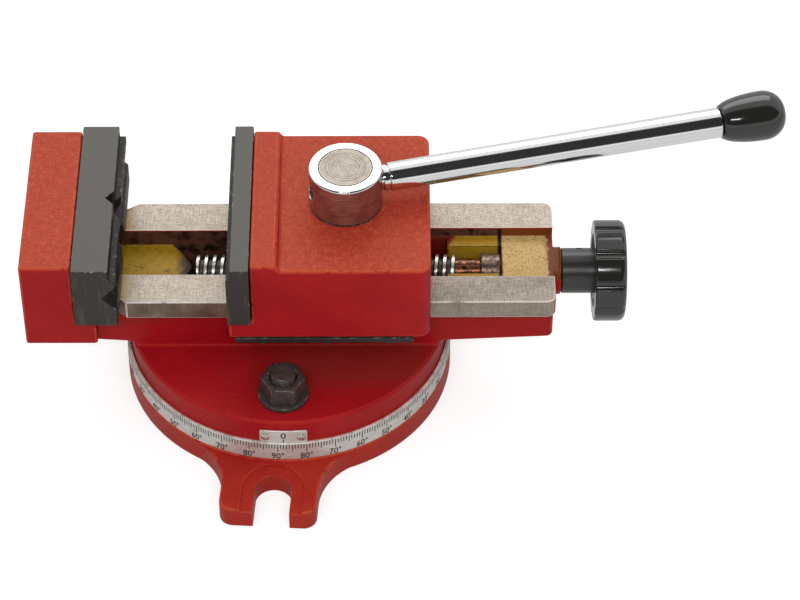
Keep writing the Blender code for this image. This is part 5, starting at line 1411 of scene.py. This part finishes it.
def makeLever():
    use = SimpleNamespace(**leverSettings)
    height = middleOf("lever_arm").z
    axis = at(leverX, 0)
    pointing = at(leverX, 0, height) @ aboutZ(use.azimuth)
    lying = pointing @ alongX(0)
    hubLow, hubHigh = place("lever_hub")
    shaftLow, shaftHigh = place("eccentric_shaft")
    hole = bar(pointing @ Vector((-use.hub - past, 0, 0)), pointing @ Vector((use.hub + past, 0, 0)),
               use.shank + gap, 48)
    bore = use.hubBore
    profile = rounded(ringSection(use.hub, bore, hubLow.z, hubHigh.z), [1.1, 0.5, 0, 0.15], 4)
    hub = carve(turnProfile(profile, 144, axis, True), cuts=[hole.copy()])
    softenEdges(hub, 0.25, 2, 50, choose=lambda edge: crossEdge(edge, height, use.shank))

    def hubFinish(face, centre):
        # the bore's wall takes black oxide, a painted ring of shade between shaft and hub
        if fromLever(centre) < bore + 0.1:
            return 2
        return 1 if centre.z < hubHigh.z - 1.2 else 0
    newPiece("lever_boss", hub, "lever", "chrome", [chrome, hubSide, blackOxide], "lever_hub", sharp=35,
             pick=hubFinish)

    clipLow, clipHigh = place("shaft_clip")
    outer, groove = use.shaft, use.shaft - use.clipGroove
    grooveLow, grooveHigh = clipLow.z - gap, clipHigh.z + gap
    bottom = railTop + use.shaftRise
    shaft = turnProfile(rounded([
        (0, shaftHigh.z), (outer, shaftHigh.z), (outer, grooveHigh), (groove, grooveHigh),
        (groove, grooveLow), (outer, grooveLow), (outer, bottom), (0, bottom)],
        [0, 0.2, 0, 0, 0, 0, 0, 0], 3, False), 96, axis)
    pin = post(leverX, use.pinOffset, shaftLow.z, bottom + bite, use.pinRadius)
    shaft = carve(shaft, joins=[pin], cuts=[hole])

    def shaftFinish(face, centre):
        # the shaft's side takes black oxide, painted shade in the ring between shaft and hub
        return 1 if abs(face.normal.z) < 0.9 and fromLever(centre) > groove else 0
    newPiece("clamp_shaft", shaft, "lever", "bare_steel", [shaftSteel, blackOxide], "eccentric_shaft",
             sharp=35, pick=shaftFinish)

    washerLow, washerHigh = place("hub_washer")
    washer = turnProfile(ringSection(use.hub, bore, washerLow.z, washerHigh.z), 96, axis, True)
    newPiece("lever_washer", washer, "jaw", "black_oxide", blackOxide, "hub_washer")

    neckStart = use.hub + gap
    armStart = neckStart + use.neckLength
    reach, neck, spigot, shank = use.reach, use.neck, use.spigot, use.shank
    tip = reach + use.spigotLength
    arm = turnProfile(rounded([
        (0, tip), (spigot, tip), (spigot, reach), (use.end, reach), (use.root, armStart),
        (neck - 0.5, armStart), (neck - 0.5, armStart - 0.5), (neck, armStart - 0.5), (neck, neckStart),
        (shank, neckStart), (shank, -4), (0, -4)],
        [0, 0.4, 0, 1.0, 0.8, 0, 0, 0.2, 0.6, 0, 0.4, 0], 4, False), 72, lying)
    newPiece("lever_rod", arm, "lever", "chrome", chrome, "lever_arm", sharp=35)

    # the knob: a dome, a swelling that narrows to the arm, and its bore
    start = reach + gap
    end = start + use.knobLength
    widest = start + use.knobLength * use.widest
    narrow, wide = use.knobNeck, use.knobRadius
    points = [(0, end)]
    for step in range(1, 19):
        angle = math.radians(90) * step / 18
        points.append((wide * math.sin(angle) ** use.dome, widest + (end - widest) * math.cos(angle)))
    for step in range(1, 17):
        share = step / 16
        swell = math.sin(math.radians(90) * (1 - share) ** 0.7)
        points.append((narrow + (wide - narrow) * swell, widest - (widest - start - 1) * share))
    points += [(narrow - 0.2, start + 0.4), (narrow - 0.7, start), (spigot + gap, start),
               (spigot + gap, tip + gap), (0, tip + gap)]
    newPiece("lever_grip", turnProfile(points, 96, lying), "lever", "black_plastic", blackPlastic,
             "lever_knob")


def crossEdge(edge, height, radius):
    # edges of the cross hole through the lever's hub
    return abs(edgeMiddle(edge).z - height) < radius + 0.5


makeLever()
print("screw, handwheel and lever made")


# pieces that stay as the CAD has them
keptNodes = {
    "pivot_pin": screwSteel, "collar_pin": screwSteel, "handwheel_pin": screwSteel,
    "shaft_clip": screwSteel, "spindle_nut": bronze, "fixed_jaw_screw_front": blackOxide,
    "fixed_jaw_screw_rear": blackOxide, "moving_jaw_screw_front": blackOxide,
    "moving_jaw_screw_rear": blackOxide,
}
for name, material in keptNodes.items():
    node = frame["nodes"][name]
    node.data.materials.clear()
    node.data.materials.append(material)


# floor, world, lamps and camera
stageSettings = {
    "floorSize": 12, "floorDrop": 0.0002, "floorGrey": (0.5, 0.5, 0.5, 1), "floorGlow": 0.62,
    "floorMirrored": 0.2, "light": 0.62, "mirrored": 0.95, "mirroredDark": 0.03, "background": 1.0,
}


def seenRays(tree):
    # the light path outputs, and 1 where the camera looks straight or through alpha
    rays = put(tree, "LightPath").outputs
    return rays, work(tree, "ADD", rays["Is Camera Ray"], rays["Is Transmission Ray"], clamp=True)


def makeFloor():
    # a grey floor that glows white for the camera and reflects dimly in the metal
    use = SimpleNamespace(**stageSettings)
    bpy.ops.mesh.primitive_plane_add(size=use.floorSize, location=(0, 0, -use.floorDrop))
    floor = bpy.context.object
    floor.name = "floor"
    material, tree, shader = newFinish("pale floor", {
        "Base Color": use.floorGrey, "Roughness": 0.9, "Specular IOR Level": 0.0})
    rays, seen = seenRays(tree)
    level = work(tree, "ADD", times(tree, seen, use.floorGlow),
                 times(tree, rays["Is Glossy Ray"], use.floorMirrored))
    glow = put(tree, "Emission", None, {"Color": (1, 1, 1, 1), "Strength": level})
    both = put(tree, "AddShader", None, {0: shader.outputs[0], 1: glow.outputs[0]})
    tree.links.new(both.outputs[0], tree.nodes["Material Output"].inputs["Surface"])
    floor.data.materials.append(material)


def makeWorld():
    # white for the camera; mirrors see it dark high up in front
    use = SimpleNamespace(**stageSettings)
    world = bpy.data.worlds.new("studio")
    scene.world = world
    world.use_nodes = True
    tree = world.node_tree
    rays, seen = seenRays(tree)
    direction = put(tree, "TexCoord").outputs["Generated"]
    parts = put(tree, "SeparateXYZ", None, {0: direction}).outputs
    dark = times(tree, spread(tree, parts[1], 0.06, -0.06), spread(tree, parts[2], 0.16, 0.3))
    glossy = mixValue(tree, dark, use.mirrored, use.mirroredDark)
    strength = mixValue(tree, rays["Is Glossy Ray"], use.light, glossy)
    strength = mixValue(tree, seen, strength, use.background)
    background = tree.nodes["Background"]
    background.inputs["Color"].default_value = (1, 1, 1, 1)
    tree.links.new(strength, background.inputs["Strength"])


def addLamp(name, azimuth, elevation, distance, width, height, power, target=(0.0, 0.0, 0.05)):
    # a softbox that looks at the vise; azimuth 0 is behind it, at +Y
    lamp = bpy.data.lights.new(name, "AREA")
    lamp.shape = "RECTANGLE"
    lamp.size = width
    lamp.size_y = height
    lamp.energy = power
    thing = bpy.data.objects.new(name, lamp)
    scene.collection.objects.link(thing)
    thing.visible_glossy = name != "front fill"
    turn = math.radians(azimuth)
    rise = math.radians(elevation)
    away = Vector((math.sin(turn) * math.cos(rise), math.cos(turn) * math.cos(rise), math.sin(rise)))
    thing.location = Vector(target) + away * distance
    thing.rotation_euler = away.to_track_quat("Z", "Y").to_euler()


lampSettings = (
    ("back softbox", 0, 46, 1.7, 1.9, 0.9, 12),
    ("front fill", 180, 52, 1.8, 1.6, 0.8, 9.5),
    ("front strip", 182, 47, 1.5, 0.6, 0.09, 3.9),
)


# solved from the photograph; angles in degrees, lengths in metres, the lens in millimetres
cameraSettings = {
    "position": (0.04719, -1.07656, 1.15071), "down": 45.871, "yaw": 0.4255, "roll": 0.1648,
    "sensor": 36, "lens": 141.261, "clip": 0.01,
}


def makeCamera():
    use = SimpleNamespace(**cameraSettings)
    down, yaw, roll = (math.radians(angle) for angle in (use.down, use.yaw, use.roll))
    ahead = Vector((math.sin(yaw) * math.cos(down), math.cos(yaw) * math.cos(down), -math.sin(down)))
    right = Vector((math.cos(yaw), -math.sin(yaw), 0))
    up = right.cross(ahead)
    side = right * math.cos(roll) + up * math.sin(roll)
    over = up * math.cos(roll) - right * math.sin(roll)
    matrix = Matrix((side, over, -ahead)).transposed().to_4x4()
    matrix.translation = use.position
    lens = bpy.data.cameras.new("camera")
    lens.sensor_width = use.sensor
    lens.lens = use.lens
    lens.clip_start = use.clip
    camera = bpy.data.objects.new("camera", lens)
    scene.collection.objects.link(camera)
    camera.matrix_world = matrix
    scene.camera = camera


makeFloor()
makeWorld()
for settings in lampSettings:
    addLamp(*settings)
makeCamera()
scene.view_settings.view_transform = "Standard"
print("stage, lamps and camera made")
